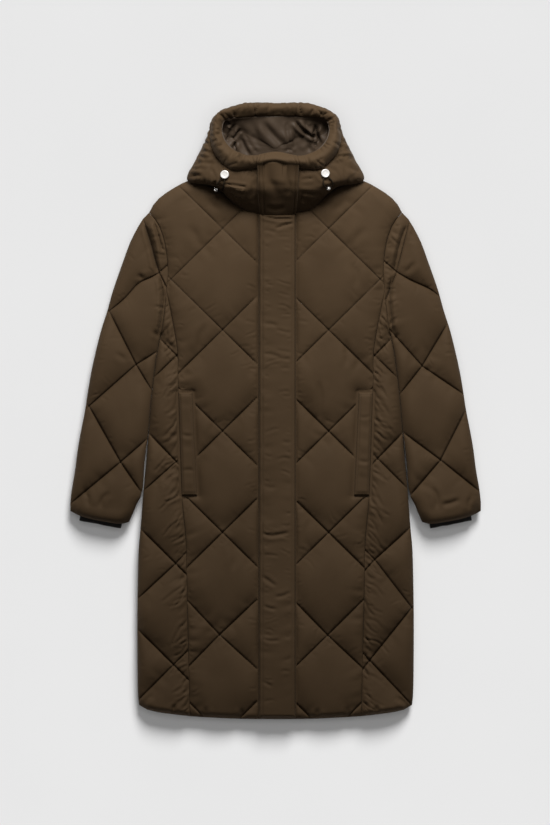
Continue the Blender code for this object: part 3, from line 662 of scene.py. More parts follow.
@dataclass(frozen=True)
class Quilting:
    """A lattice of stitched diamonds whose crossings follow a middle line."""

    middle: Rows
    start: float
    half_width: float
    half_height: float
    seed: int
    # Crossings that lie off the even lattice, and bows (x, y, dx, dy, reach) of the lines between them.
    crossings: Rows = ()
    bows: Rows = ()
    steps: int = 6
    power: float = 3.6
    # For each family, the depth of its lines high on the coat and low on it.
    loose: tuple[tuple[float, float], tuple[float, float]] = ((1.0, 1.0), (1.0, 1.0))
    loose_from: float = 240.0
    loose_span: float = 200.0

    @property
    def side(self) -> float:
        """The length of a diamond's side."""
        return math.hypot(self.half_width, self.half_height)

    def middle_at(self, y: Array) -> Array:
        """The middle line's x at each y."""
        rows = np.array(sorted((y, x) for x, y in self.middle), float)
        return np.interp(y, rows[:, 0], rows[:, 1])

    def even_cell(self, points: Array) -> tuple[Array, Array]:
        """Each point's place across both families of an even lattice.

        Args:
            points: the points (x, y), one in each row.

        Returns:
            The two places of each point.
        """
        v = (points[:, 1] - self.start) / self.half_height
        u = (points[:, 0] - self.middle_at(points[:, 1])) / self.half_width
        return (u + v) / 2, (u - v) / 2

    def even_places(self, u: Array, v: Array) -> Array:
        """The places in an even lattice, u half widths and v half heights from the first crossing."""
        y = self.start + v * self.half_height
        return np.column_stack([self.middle_at(y) + u * self.half_width, y])

    def moved(self, points: Array) -> Array:
        """How far the stitched lattice lies from each point (x, y) of the even one.

        Args:
            points: the points (x, y), one in each row.

        Returns:
            The way (x, y) at each point.
        """
        a, b = self.even_cell(points)
        shift = np.zeros(points.shape)
        for target in self.crossings:
            target = np.array([target], float)
            across, other = (np.round(one) for one in self.even_cell(target))
            even = self.even_places(across + other, across - other)
            near = np.maximum(1 - np.abs(a - across), 0) * np.maximum(1 - np.abs(b - other), 0)
            shift += near[:, None] * (target - even)
        for x, y, dx, dy, reach in self.bows:
            near = np.exp(-((points - [x, y]) ** 2).sum(axis=1) / reach**2)
            shift += near[:, None] * [dx, dy]
        return shift

    def cell(self, points: Array) -> tuple[Array, Array]:
        """Each point's place across both families of stitch lines, whole on a line.

        Args:
            points: the points (x, y), one in each row.

        Returns:
            The two places of each point.
        """
        even = points
        for _ in range(10 if len(self.crossings) + len(self.bows) else 0):
            even = points - self.moved(even)
        return self.even_cell(even)

    def drawn_in(self, points: Array) -> tuple[Array, Array]:
        """How deep both families of lines are drawn in, the falling one first: less and less up the coat."""
        deep = ease((self.loose_from - points[:, 1]) / self.loose_span)
        return tuple(top + (low - top) * deep for top, low in self.loose)

    def puff(self, points: Array) -> Array:
        """How full the quilting is, 0 on a stitch line and 1 in a diamond's middle.

        Args:
            points: the points (x, y), one in each row.

        Returns:
            How full it is at each point.
        """
        full = np.ones(len(points))
        for across, share in zip(self.cell(points), self.drawn_in(points)):
            full *= 1 - share * np.abs(2 * (across % 1) - 1) ** self.power
        return full

    def stitch_tracks(self, points: Array) -> list[tuple[Array, Array, Array]]:
        """For both families of lines, the distance to the nearest, the length along it and its number.

        Args:
            points: the points (x, y), one in each row.

        Returns:
            The three measures of each family, at each point.
        """
        a, b = self.cell(points)
        spacing = 2 * self.half_width * self.half_height / self.side
        return [
            (np.abs(one - np.round(one)) * spacing, other * self.side, np.round(one))
            for one, other in ((a, b), (b, a))
        ]

    def places(self, u: Array, v: Array) -> Array:
        """The places u half widths and v half heights from the first crossing."""
        even = self.even_places(u, v)
        return even + self.moved(even)

    def rows(self, outline: Array, step: float = 2.5) -> list[Array]:
        """Every row of stitches across an outline's box.

        Args:
            outline: the panel's edge.
            step: about how far apart the places on a row are.

        Returns:
            Each row's places.
        """
        low, high = ((y - self.start) / self.half_height for y in (outline[:, 1].min(), outline[:, 1].max()))
        first, last = low - 1, high + 1
        v = np.linspace(first, last, max(2, round((last - first) * self.side / step)))
        most = 12  # rows to either side of the first crossing
        lines = [self.places(2 * n + lean * v, v) for lean in (-1, 1) for n in range(-most, most + 1)]
        return [line for line in lines if inside(line, outline).any()]

    def grid(self, outline: Array, lines: Sequence[Array], clear: float) -> tuple[Array, Faces]:
        """Points inside an outline, and the stitches between them.

        Args:
            outline: the panel's edge.
            lines: lines that the points keep clear of.
            clear: how far from them a point off the stitches stays.

        Returns:
            The points, and pairs of their numbers along stitch lines.
        """
        low, high = outline.min(axis=0), outline.max(axis=0)
        margin = self.half_width / 2
        reach = int(max(high - low) / self.half_height * self.steps) + 3 * self.steps
        first = round((low[1] - self.start) / self.half_height * self.steps)
        keys = [(i, j) for j in range(first - 2, first + reach) for i in range(-reach, reach)]
        places = self.places(*(np.array(keys, float) / self.steps).T)
        near = np.all(places > low - margin, axis=1) & np.all(places < high + margin, axis=1)
        keys, places = [k for k, n in zip(keys, near) if n], places[near]
        away = np.min([distances(places, line) for line in lines], axis=0)
        period = 2 * self.steps
        stitched = np.array([(i + j) % period == 0 or (i - j) % period == 0 for i, j in keys])
        stitch_clear = 4.0
        kept = (away > np.where(stitched, stitch_clear, clear)) & inside(places, outline)
        number = {key: k for k, key in enumerate(key for key, keep in zip(keys, kept) if keep)}
        pairs = []
        for (i, j), here in number.items():
            for lean in (1, -1):
                if (i - lean * j) % period == 0 and (i + 1, j + lean) in number:
                    pairs.append((here, number[i + 1, j + lean]))
        return places[kept], pairs


# ---- gathers and folds


@dataclass(frozen=True)
class Puckers:
    """Small gathers that run off a line of sewing into the cloth beside it."""

    depth: float
    pitch: float = 13.0
    reach: float = 7.0
    slant: float = 0.35
    spare: float = 90.0

    def rise(self, away: Array, along: Array, seed: int) -> Array:
        """How far the cloth stands up or sinks.

        Args:
            away: the distance to the sewing.
            along: the length along it.
            seed: which set of waves to use.

        Returns:
            Heights in millimetres, 0 on the sewing itself.
        """
        shift = away * self.slant * Waver(seed + 2).along(along / (3 * self.spare))
        wave = Waver(seed).along((along + shift) / self.pitch)
        wave = wave - 0.6 * np.maximum(-wave, 0)
        bunched = 0.35 + 0.65 * ease(Waver(seed + 1).along(along / self.spare) + 0.45)
        near = away / self.reach
        return self.depth * wave * bunched * near * np.exp(1 - near)


@dataclass(frozen=True)
class Fold:
    """One fold: a trough along a line, soft or crisp, with a ridge beside it."""

    path: Rows
    depth: float
    width: float = 5.0
    ridge: float = 0.35
    crisp: bool = False

    def rise(self, points: Array) -> Array:
        """How far the fold raises or sinks each point (x, y).

        Args:
            points: places on the coat.

        Returns:
            Heights in millimetres.
        """
        point_step, widths_out, ridge_at, ridge_spread, sharpness = 3.0, 4.5, 2.1, 1.6, 1.4
        line = smooth_line(self.path, point_step)
        reach = widths_out * self.width
        near = np.all((points > line.min(axis=0) - reach) & (points < line.max(axis=0) + reach), axis=1)
        rise = np.zeros(len(points))
        if not near.any():
            return rise
        away, along = track(points[near], line)
        length = float(np.linalg.norm(np.diff(line, axis=0), axis=1).sum())
        tip = np.minimum(along, length - along) / max(min(length / 2, 3 * self.width), 1e-6)
        t = away / self.width
        strong = ease(0.1 + 0.9 * tip) * ease((reach - np.abs(away)) / self.width)
        trough = -np.exp(-np.abs(t) * sharpness) if self.crisp else -np.exp(-t * t)
        left, right = (np.exp(-((t - at) ** 2) / ridge_spread) for at in (ridge_at, -ridge_at))
        rise[near] = self.depth * strong * (trough + self.ridge * (left + right))
        return rise


def set_folds(*rows: Sequence[float]) -> tuple[Fold, ...]:
    """Folds from rows of depth, width, ridge and crispness, and then their line's x, y, x, y and so on."""
    return tuple(Fold(tuple(zip(row[4::2], row[5::2])), *row[:3], bool(row[3])) for row in rows)


@dataclass(frozen=True)
class Creases:
    """Fine creases that run off a line of sewing at a slant, the same on each run."""

    every: float = 18.0
    shortest: float = 9.0
    longest: float = 30.0
    depth: float = 1.1
    width: float = 2.3
    slant: tuple[float, float] = (-0.8, 0.8)
    bend: float = 0.16
    ridge: float = 0.5
    clear: float = 4.0

    def beside(self, line: Array, hand: int, seed: int) -> list[Fold]:
        """Creases on one side of a line.

        Args:
            line: the sewing's points (x, y).
            hand: 1 for its left side and -1 for its right.
            seed: which set of creases to use.

        Returns:
            The creases.
        """
        chance = np.random.RandomState(seed)
        lengths = run_lengths(line)
        found = []
        for _ in range(int(lengths[-1] / self.every)):
            place = chance.uniform(self.clear, lengths[-1] - self.clear)
            here, there = (point_at(line, lengths, place + d) for d in (-2, 2))
            ahead = (there - here) / max(float(np.linalg.norm(there - here)), 1e-6)
            off = hand * np.array([-ahead[1], ahead[0]])
            angle = chance.uniform(*self.slant)
            way = math.cos(angle) * off + math.sin(angle) * ahead
            long = self.shortest + (self.longest - self.shortest) * chance.uniform() ** 2
            bend = np.array([-way[1], way[0]]) * long * chance.uniform(-self.bend, self.bend)
            start = (here + there) / 2 + way * chance.uniform(0.0, 3.0)
            path = (tuple(start), tuple(start + way * long / 2 + bend), tuple(start + way * long))
            depth, width = self.depth * chance.uniform(0.4, 1.0), self.width * chance.uniform(0.8, 1.3)
            found.append(Fold(path, depth, width, self.ridge, True))
        return found


def raised(points: Array, folds: Sequence[Fold]) -> Array:
    """How far a set of folds raises or sinks each point (x, y), all together.

    Args:
        points: the points (x, y), one in each row.
        folds: the folds.

    Returns:
        The rise at each point, in millimetres.
    """
    rise = np.zeros(len(points))
    for fold in folds:
        rise += fold.rise(points)
    return rise


# ---- the cutting pattern


@dataclass(frozen=True)
class Pattern:
    """Half outlines of the coat's cloth for +X, as (x, y) down each edge."""

    shoulder: Rows = ((104, 480), (140, 471.5), (177, 460), (204, 446), (228, 430), (243, 415), (253, 397))
    armhole_top: Rows = ((253, 397), (235, 374), (223, 342), (217, 306), (215, 272), (218, 242))
    armhole_low: Rows = ((218, 242), (222.5, 197), (226.5, 170), (229.4, 152))
    body_side: Rows = (
        (229.4, 152), (237, 118), (242.4, 78), (246.4, 46), (249, 22), (253, -26), (256, -66), (259.5, -108),
        (262.5, -138), (266, -178), (268, -206), (270.5, -240), (273.5, -270), (275, -310), (276.5, -400),
        (276.5, -480), (275.5, -560), (273, -588),
    )
    hem: Rows = (
        (273, -588), (255, -598), (225, -604), (171, -610.5), (142, -612.5), (75, -615.6), (0, -616.4),
    )
    princess_seam: Rows = (
        (218, 242), (213, 216), (203, 164), (196, 118), (195, 76), (194, 37), (187.2, -168),
        (179.5, -258), (177.2, -356), (174, -495), (171, -610.5),
    )
    front_neck: Rows = ((0, 404.5), (20, 405.2), (50, 409.5), (80, 421), (98, 440), (106, 462), (104, 480))
    back_neck: Rows = ((0, 472), (60, 474), (104, 480))
    sleeve_outer: Rows = (
        (253, 397), (267, 382), (289, 342), (304, 302), (325, 242), (336, 202), (349, 162), (359, 122),
        (368, 82), (375, 42), (381, 2), (389, -38), (396, -78), (401, -118), (408, -158), (411, -188),
        (410.5, -200),
    )
    cuff_hem: Rows = (
        (410.5, -200), (396.6, -207.4), (373.6, -215.4), (339, -222), (310.4, -226), (293, -222),
    )
    sleeve_inner: Rows = (
        (293, -222), (284, -202), (277, -184), (269.5, -171), (266, -156), (264, -138), (262.5, -108),
        (257.5, -66), (253, -26), (249, 22), (246.4, 46), (242.4, 78), (237, 118), (229.4, 152),
    )
    # The placket's two edges, and the +X pocket's corners from the upper outer one.
    placket: tuple[float, float] = (-34.0, 40.0)
    welt: Rows = ((194.0, 37.0), (166.4, 37.0), (157.0, -168.0), (187.2, -168.0))
    step: float = 18.0

    def line(self, name: str, step: float | None = None) -> Array:
        """One of the pattern's edges as points about a step apart."""
        return smooth_line(getattr(self, name), step or self.step)


@dataclass(frozen=True)
class Layers:
    """How thick the coat's layers are, from the surface up."""

    back: float = 18.0
    gap: float = 0.3
    stitched: float = 12.0
    puffed: float = 23.5
    lip: float = 2.0
    edge_roll: float = 24.0
    hem_roll: float = 14.0
    seam_roll: float = 30.0
    seam_gap: float = 0.15

    @property
    def floor(self) -> float:
        """The height of the fronts' underside."""
        return self.back + self.gap

    @property
    def parting(self) -> float:
        """The height of the middle of a sleeve's two layers."""
        return self.back + self.gap / 2


@dataclass(frozen=True)
class Camera:
    """A camera straight above the coat, at the height of a studio's top shot."""

    height: float = 15.0
    place: tuple[float, float] = (-0.0012, -0.003)
    frame_height: float = 1.65
    cloth_height: float = 0.02
    sensor: float = 36.0

    def make(self) -> None:
        """Set the scene's camera."""
        data = bpy.data.cameras.new("studio_camera")
        data.sensor_width = self.sensor
        data.lens = self.sensor * (self.height - self.cloth_height) / self.frame_height
        camera = bpy.data.objects.new("studio_camera", data)
        camera.location = (*self.place, self.height)
        bpy.context.scene.collection.objects.link(camera)
        bpy.context.scene.camera = camera


@dataclass
class HoodForm:
    """The hood's form: one row for each station, from the middle of the chin (0) round to
    the middle of the top (9), for +X. Each column is a ring's (x, y, z)."""

    # base, edge, ridge, valley, crest, lip, pouch and floor
    stations: Rows = (
        ((0, 410, 26), (0, 394, 34), (0, 444, 83), (0, 483, 91),
         (0, 500, 104), (0, 516, 92), (0, 440, 58), (0, 436, 20)),
        ((40, 412, 26), (46, 398, 34), (51, 442, 83), (52, 482, 91),
         (51, 496, 104), (47, 508, 91), (44, 442, 58), (40, 438, 20)),
        ((78, 428, 26), (82, 413, 33), (84, 445, 81), (83, 480, 90),
         (78, 499, 104), (72, 514, 89), (74, 452, 56), (66, 448, 20)),
        ((98, 448, 26), (120, 446, 32), (115, 455, 79), (103, 491, 83),
         (97, 508, 98), (88, 523, 86), (90, 504, 53), (76, 494, 20)),
        ((114, 472, 28.5), (174, 460.5, 31), (151, 474, 64), (120, 510, 70),
         (112, 523, 91), (99.5, 536, 82), (101, 530, 46), (80, 524, 22)),
        ((132, 496, 11.5), (159, 500, 26), (144, 512, 56), (129, 533, 64),
         (119, 542, 84), (106, 550, 77), (107, 546, 44), (84, 538, 22)),
        ((114, 540, 11.2), (136, 545, 24), (134, 550, 46), (130, 557, 56),
         (120.5, 563, 76), (107.5, 566, 69), (108, 562, 42), (84, 550, 24)),
        ((96, 582, 11.2), (119, 589, 22), (120, 589, 36), (117.5, 590, 46),
         (111, 592, 68), (98, 583, 58), (95, 577, 40), (72, 560, 28)),
        ((52, 594, 11.2), (68, 613.2, 20), (68.5, 613, 34), (67.5, 612.5, 50),
         (65, 604, 62), (60, 587, 52), (56, 579, 45), (44, 560, 40)),
        ((0, 595, 11.2), (0, 614.2, 20), (0, 615, 34), (0, 614, 50),
         (0, 604, 61), (0, 589, 51), (0, 580, 48), (0, 560, 44)),
    )
    wall: float = 6.0
    rim_gap: float = 0.5
    seam_station: float = 8.36
    seam_gap: float = 0.15
    brow: float = 2.6
    loop: Array = field(init=False, repr=False)

    def __post_init__(self) -> None:
        """Close the rows round both sides."""
        half = np.array(self.stations, float)
        self.loop = np.concatenate([half, half[-2:0:-1] * [-1, 1, 1]])

    @property
    def top(self) -> int:
        """The station in the middle of the top."""
        return len(self.stations) - 1

    def at(self, stations: Array) -> Array:
        """Every ring's point at each station; -X is from 0 down, or past the top.

        Args:
            stations: the stations.

        Returns:
            A grid of points, a ring to a row.
        """
        count = len(self.loop)
        place = np.asarray(stations, float) % count
        first = np.floor(place).astype(int)
        t = (place - first)[..., None, None]
        return catmull_rom([self.loop[(first + k) % count] for k in (-1, 0, 1, 2)], t)

    def wall_points(self, stations: Array, heights: Array) -> Array:
        """The outer wall: from the base (0) past the edge (1) and over the ridge (1.5) to the valley (2).

        Args:
            stations: places round the hood.
            heights: places up the wall.

        Returns:
            A point for each pair of both.
        """
        ridge, ridge_width, brow_end, brow_fade = 1.5, 0.09, 3.6, 1.2
        rings = np.moveaxis(self.at(stations)[:, :4], 1, 0)
        rows = np.minimum(heights, 1) + 2 * np.maximum(heights - 1, 0)
        points = np.moveaxis(curve_point(rings, rows), 0, 1)
        round_to = np.abs((np.asarray(stations) + self.top) % (2 * self.top) - self.top)
        brow = self.brow * ease((brow_end - round_to) / brow_fade)
        points[..., 2] += brow[:, None] * np.exp(-(((heights - ridge) / ridge_width) ** 2))
        return points

    def normals(self, stations: Array, heights: Array) -> Array:
        """The wall's outward directions at the same places as its points.

        Args:
            stations: the stations.
            heights: the places up the wall.

        Returns:
            The directions, one to a point.
        """
        small = 1e-3
        around = self.wall_points(stations + small, heights) - self.wall_points(stations - small, heights)
        up = self.wall_points(stations, heights + small) - self.wall_points(stations, heights - small)
        normal = np.cross(around, up)
        return normal / np.linalg.norm(normal, axis=2)[:, :, None]

    def over(self, x: float, y: float, lift: float) -> tuple[Array, Array]:
        """The point a distance off the wall over a place (x, y).

        Args:
            x: the place across the coat.
            y: the place along it.
            lift: the distance off the wall.

        Returns:
            The point and the wall's outward direction there.
        """
        station, height, small, rounds = 3.0, 1.6, 1e-3, 15
        for _ in range(rounds):
            here = self.wall_points(np.array([station, station + small]), np.array([height, height + small]))
            around, up = (here[1, 0] - here[0, 0]) / small, (here[0, 1] - here[0, 0]) / small
            missed = np.array([abs(x), y]) - here[0, 0, :2]
            step = np.linalg.solve(np.column_stack([around[:2], up[:2]]), missed)
            station, height = station + step[0], height + step[1]
        normal = np.cross(around, up)
        normal *= math.copysign(1.0, normal[2]) / np.linalg.norm(normal)
        mirror = np.array([math.copysign(1.0, x), 1.0, 1.0])
        return (here[0, 0] + normal * lift) * mirror, normal * mirror

    def station_at_x(self, x: float) -> float:
        """The station on +X in front of the chin where the valley is at this x.

        Args:
            x: the place across, in millimetres.

        Returns:
            The station.
        """
        low, high, halvings = 0.0, 3.0, 40
        for _ in range(halvings):
            middle = (low + high) / 2
            low, high = (middle, high) if self.at(middle)[3][0] < x else (low, middle)
        return low

    def station_gap(self, station: float) -> float:
        """The part of a station that the gap beside a seam takes up on the valley ring.

        Args:
            station: the seam's station.

        Returns:
            The gap, as a part of a station.
        """
        half = 0.05
        ends = self.at(np.array([station - half, station + half]))[:, 3]
        return self.seam_gap * 2 * half / float(np.linalg.norm(ends[1] - ends[0]))


@dataclass
class CordFittings:
    """On each side a round cord stop, the elastic loop below it and the loop's ferrule."""

    hood: HoodForm
    stop_height: float = 6.0
    stop_lift: float = 1.2
    stop_facets: int = 64
    cord_radius: float = 1.25
    point_step: float = 3.0
    ferrule_lift: float = 2.0
    ferrule_spread: float = 0.2
    ferrule_facets: int = 40
    stop_places: dict = field(default_factory=lambda: {Side.LEFT: (-100.5, 470.3), Side.RIGHT: (98.1, 472.8)})
    # Each loop's places (x, y, z) from one side of its stop to the other.
    routes: dict = field(default_factory=lambda: {
        Side.LEFT: (
            (-106.0, 464.5, 87.6), (-111.2, 460.2, 87.0), (-115.0, 453.8, 83.8), (-117.8, 447.8, 75.6),
            (-119.0, 443.4, 65.6), (-119.2, 440.0, 56.6), (-117.4, 437.6, 50.4), (-112.8, 436.8, 49.2),
            (-108.2, 438.2, 52.0), (-105.6, 441.4, 61.0), (-104.6, 445.8, 75.4), (-103.6, 450.4, 85.6),
            (-102.2, 456.0, 89.2), (-101.2, 462.7, 89.8),
        ),
        Side.RIGHT: (
            (96.4, 465.0, 91.2), (94.9, 459.0, 91.4), (94.9, 453.2, 90.8), (96.6, 448.4, 87.4),
            (99.8, 445.4, 81.5), (103.6, 443.6, 76.0), (107.8, 443.4, 72.6), (111.6, 445.6, 73.0),
            (113.9, 449.6, 77.2), (113.9, 454.6, 83.2), (111.0, 459.8, 88.0), (105.9, 464.6, 90.2),
        ),
    })
    ferrule_places: dict = field(default_factory=lambda: {Side.LEFT: 0.39, Side.RIGHT: 0.48})
    # Each profile is (radius, height) from the middle of the upper face outwards.
    stop_profile: Rows = (
        (0.0, 2.3), (3.6, 2.3), (4.6, 2.45), (6.2, 2.9), (7.1, 3.0), (7.9, 2.75), (8.35, 2.2),
        (8.5, 1.3), (8.5, -1.4), (8.2, -2.3), (7.4, -2.9), (6.6, -3.0), (0.0, -3.0),
    )
    ferrule_profile: Rows = (
        (1.5, 2.6), (2.1, 3.05), (2.7, 3.0), (3.05, 2.5), (3.1, 1.7), (3.45, 1.2), (3.5, 0.0),
        (3.45, -1.2), (3.1, -1.7), (3.05, -2.5), (2.7, -3.0), (2.1, -3.05), (1.5, -2.6),
    )

    def make(self) -> list[Piece]:
        """Build every fitting.

        Returns:
            The pieces.
        """
        made = []
        for side in Side:
            place, normal = self.hood.over(*self.stop_places[side], self.stop_lift + self.stop_height / 2)
            stop = self.turned(
                f"cord_stop_disc_{side.value}", self.stop_profile, place, normal, ENAMEL,
                f"cord_stop_{side.value}", self.stop_facets,
            )
            path = self.loop_path(side)
            middle = round(self.ferrule_places[side] * (len(path) - 1))
            ferrule = self.turned(
                f"loop_ferrule_{side.value}", self.ferrule_profile, path[middle],
                path[middle + 1] - path[middle - 1], METAL, f"cord_end_{side.value}", self.ferrule_facets,
            )
            loop = self.loop_tube(side, path)
            made += [stop, loop, ferrule]
        return made

    def turned(self, name: str, profile: Rows, place: Array, axis: Array, finish: Finish, node: str,
               count: int) -> Piece:
        """A turned piece whose axis points a given way.

        Args:
            name: the piece's name.
            profile: (radius, height) rows from one end to the other, open or down to the axis.
            place: the middle of the piece.
            axis: the direction of its heights.
            finish: what it is made of.
            node: the solid that it stands for.
            count: how many facets go round it.

        Returns:
            The new piece.
        """
        least_radius, sharp = 0.02, 60.0
        rows = curve_point(profile, np.linspace(0, len(profile) - 1, 3 * len(profile) - 2))
        rows[:, 0] = np.maximum(rows[:, 0], least_radius)
        angles = np.arange(count) * 2 * math.pi / count
        points = np.stack([
            rows[:, None, 0] * np.cos(angles), rows[:, None, 0] * np.sin(angles),
            np.broadcast_to(rows[:, None, 1], (len(rows), count)),
        ], axis=-1)
        turn = np.array(Vector(axis).to_track_quat("Z", "Y").to_matrix())
        faces = grid_faces(len(rows), count, closed=True)
        if profile[0][0] > 1:
            faces += skirt_faces(range((len(rows) - 1) * count, len(rows) * count), 0)
        return make_piece(name, points.reshape(-1, 3) @ turn.T + place, faces, finish, node, sharp)

    def loop_path(self, side: Side) -> Array:
        """The cord's points over the hood's wall, lifted where the ferrule holds it off the cloth.

        Args:
            side: which side's cord.

        Returns:
            The points (x, y, z), in order.
        """
        route = np.array(self.routes[side])
        away = (np.linspace(0, 1, len(route)) - self.ferrule_places[side]) / self.ferrule_spread
        route[:, 2] += self.ferrule_lift * np.exp(-(away**2))
        return smooth_line(route, self.point_step)

    def loop_tube(self, side: Side, path: Array) -> Piece:
        """The elastic loop as a round cord along its path.

        Args:
            side: the half of the coat that it is on.
            path: its points (x, y, z).

        Returns:
            The new piece.
        """
        curve = bpy.data.curves.new(f"elastic_loop_{side.value}", "CURVE")
        curve.dimensions = "3D"
        spline = curve.splines.new("POLY")
        spline.points.add(len(path) - 1)
        for control, p in zip(spline.points, path):
            control.co = (*(p * MM), 1.0)
        curve.bevel_depth, curve.bevel_resolution, curve.use_fill_caps = self.cord_radius * MM, 4, True
        return settle(curve.name, curve, CORD, f"cord_loop_{side.value}")


@dataclass
class KnitCuffs:
    """The ribbed inner cuffs: flattened tubes that stand out of the sleeves' ends."""

    layers: Layers = Layers()
    half_width: float = 42.4
    half_height: float = 4.9
    squareness: float = 0.55
    length: float = 42.0
    end: tuple[float, float] = (351.0, -227.0)
    turn: float = math.radians(10.9)
    ribs: int = 58
    rib_depth: float = 0.5
    drift: float = 0.6
    clearance: float = 0.7
    around: int = 464
    sharp: float = 80.0
    # How far in from the cuff's end each ring lies, and how far inside the outer face.
    rings: Rows = (
        (42, 0), (34, 0), (27, 0), (21, 0), (16, 0), (12, 0), (9, 0), (6.5, 0), (4.5, 0), (3, 0), (1.8, 0.05),
        (0.9, 0.25), (0.3, 0.6), (0, 1.0), (0.3, 1.45), (1, 1.8), (2.5, 2), (5, 2), (9, 2), (15, 2), (22, 2),
        (30, 2),
    )

    def make(self) -> list[Piece]:
        """Build both cuffs.

        Returns:
            The pieces.
        """
        angles = np.linspace(0, 2 * math.pi, 2048, endpoint=False)
        x, z = (
            half * np.sign(part) * np.abs(part) ** self.squareness
            for half, part in ((self.half_width, np.cos(angles)), (self.half_height, np.sin(angles)))
        )
        closed = looped(np.column_stack([x, z]))
        lengths, share = run_lengths(closed), np.arange(self.around) / self.around
        section = point_at(closed, lengths, share * lengths[-1]).T
        normal = np.roll(section, -1, axis=0) - np.roll(section, 1, axis=0)
        normal = np.column_stack([normal[:, 1], -normal[:, 0]]) / np.linalg.norm(normal, axis=1)[:, None]
        rib = self.rib_depth * (np.abs(np.cos(share * self.ribs * math.pi)) - 0.6)
        cos, sin = math.cos(self.turn), math.sin(self.turn)
        made = []
        for side in Side:
            drift = self.drift * Waver(91 + side.sign).along(share * 14)
            points = []
            for inward, deep in self.rings:
                flat = section + normal * (rib * (1 if deep < 1.5 else 0.4) - deep)[:, None]
                back = inward + drift
                points.append(np.column_stack([
                    side.sign * (self.end[0] + flat[:, 0] * cos - back * sin),
                    self.end[1] + flat[:, 0] * sin + back * cos,
                    self.layers.parting + flat[:, 1],
                ]))
            node, points = f"knit_cuff_{side.value}", np.concatenate(points)
            faces = outward_faces(points, tube_faces(len(self.rings), self.around))
            made.append(make_piece(f"ribbed_{node}", points, faces, KNIT, node, self.sharp))
        return padded(made, 0.2)

    def take_place(self, piece: Piece, side: Side) -> None:
        """Take the cuff's place out of a sleeve piece.

        Args:
            piece: the sleeve piece.
            side: the half of the coat that it is on.
        """
        back, spare = (self.length - self.clearance) / 2, self.clearance
        place = Vector((
            side.sign * (self.end[0] - math.sin(self.turn) * back), self.end[1] + math.cos(self.turn) * back,
            self.layers.parting,
        ))
        size = (2 * (self.half_width + spare), self.length + 3 * spare, 2 * (self.half_height + spare))
        mesh = bpy.data.meshes.new("cuff_place")
        bm = bmesh.new()
        bmesh.ops.create_cube(bm, size=MM)
        bmesh.ops.scale(bm, vec=size, verts=bm.verts)
        bm.to_mesh(mesh)
        bm.free()
        tool = bpy.data.objects.new("cuff_place", mesh)
        tool.location, tool.rotation_euler = place * MM, (0.0, 0.0, side.sign * self.turn)
        bpy.context.scene.collection.objects.link(tool)
        cut = piece.modifiers.new("cuff_place", "BOOLEAN")
        cut.operation, cut.object = "DIFFERENCE", tool
        shaped = piece.evaluated_get(bpy.context.evaluated_depsgraph_get())
        shaped = bpy.data.meshes.new_from_object(shaped)
        piece.modifiers.clear()
        piece.data = shaped
        bpy.data.objects.remove(tool)


# ---- the quilted body


@dataclass
class Cut:
    """One quilted panel for +X: what is cut, how it is stitched and what it is sewn to."""

    side: Side
    outline: Array
    quilting: Quilting
    seams: Sequence[Array] = ()
    edges: Sequence[tuple[Array, float]] = ()
    # Each line of sewing, the side of it that the panel is on and its creases.
    sewing: list[tuple[Array, int, Creases]] = field(default_factory=list)
    creases: Sequence[Array] = ()
    trimmed: bool = True


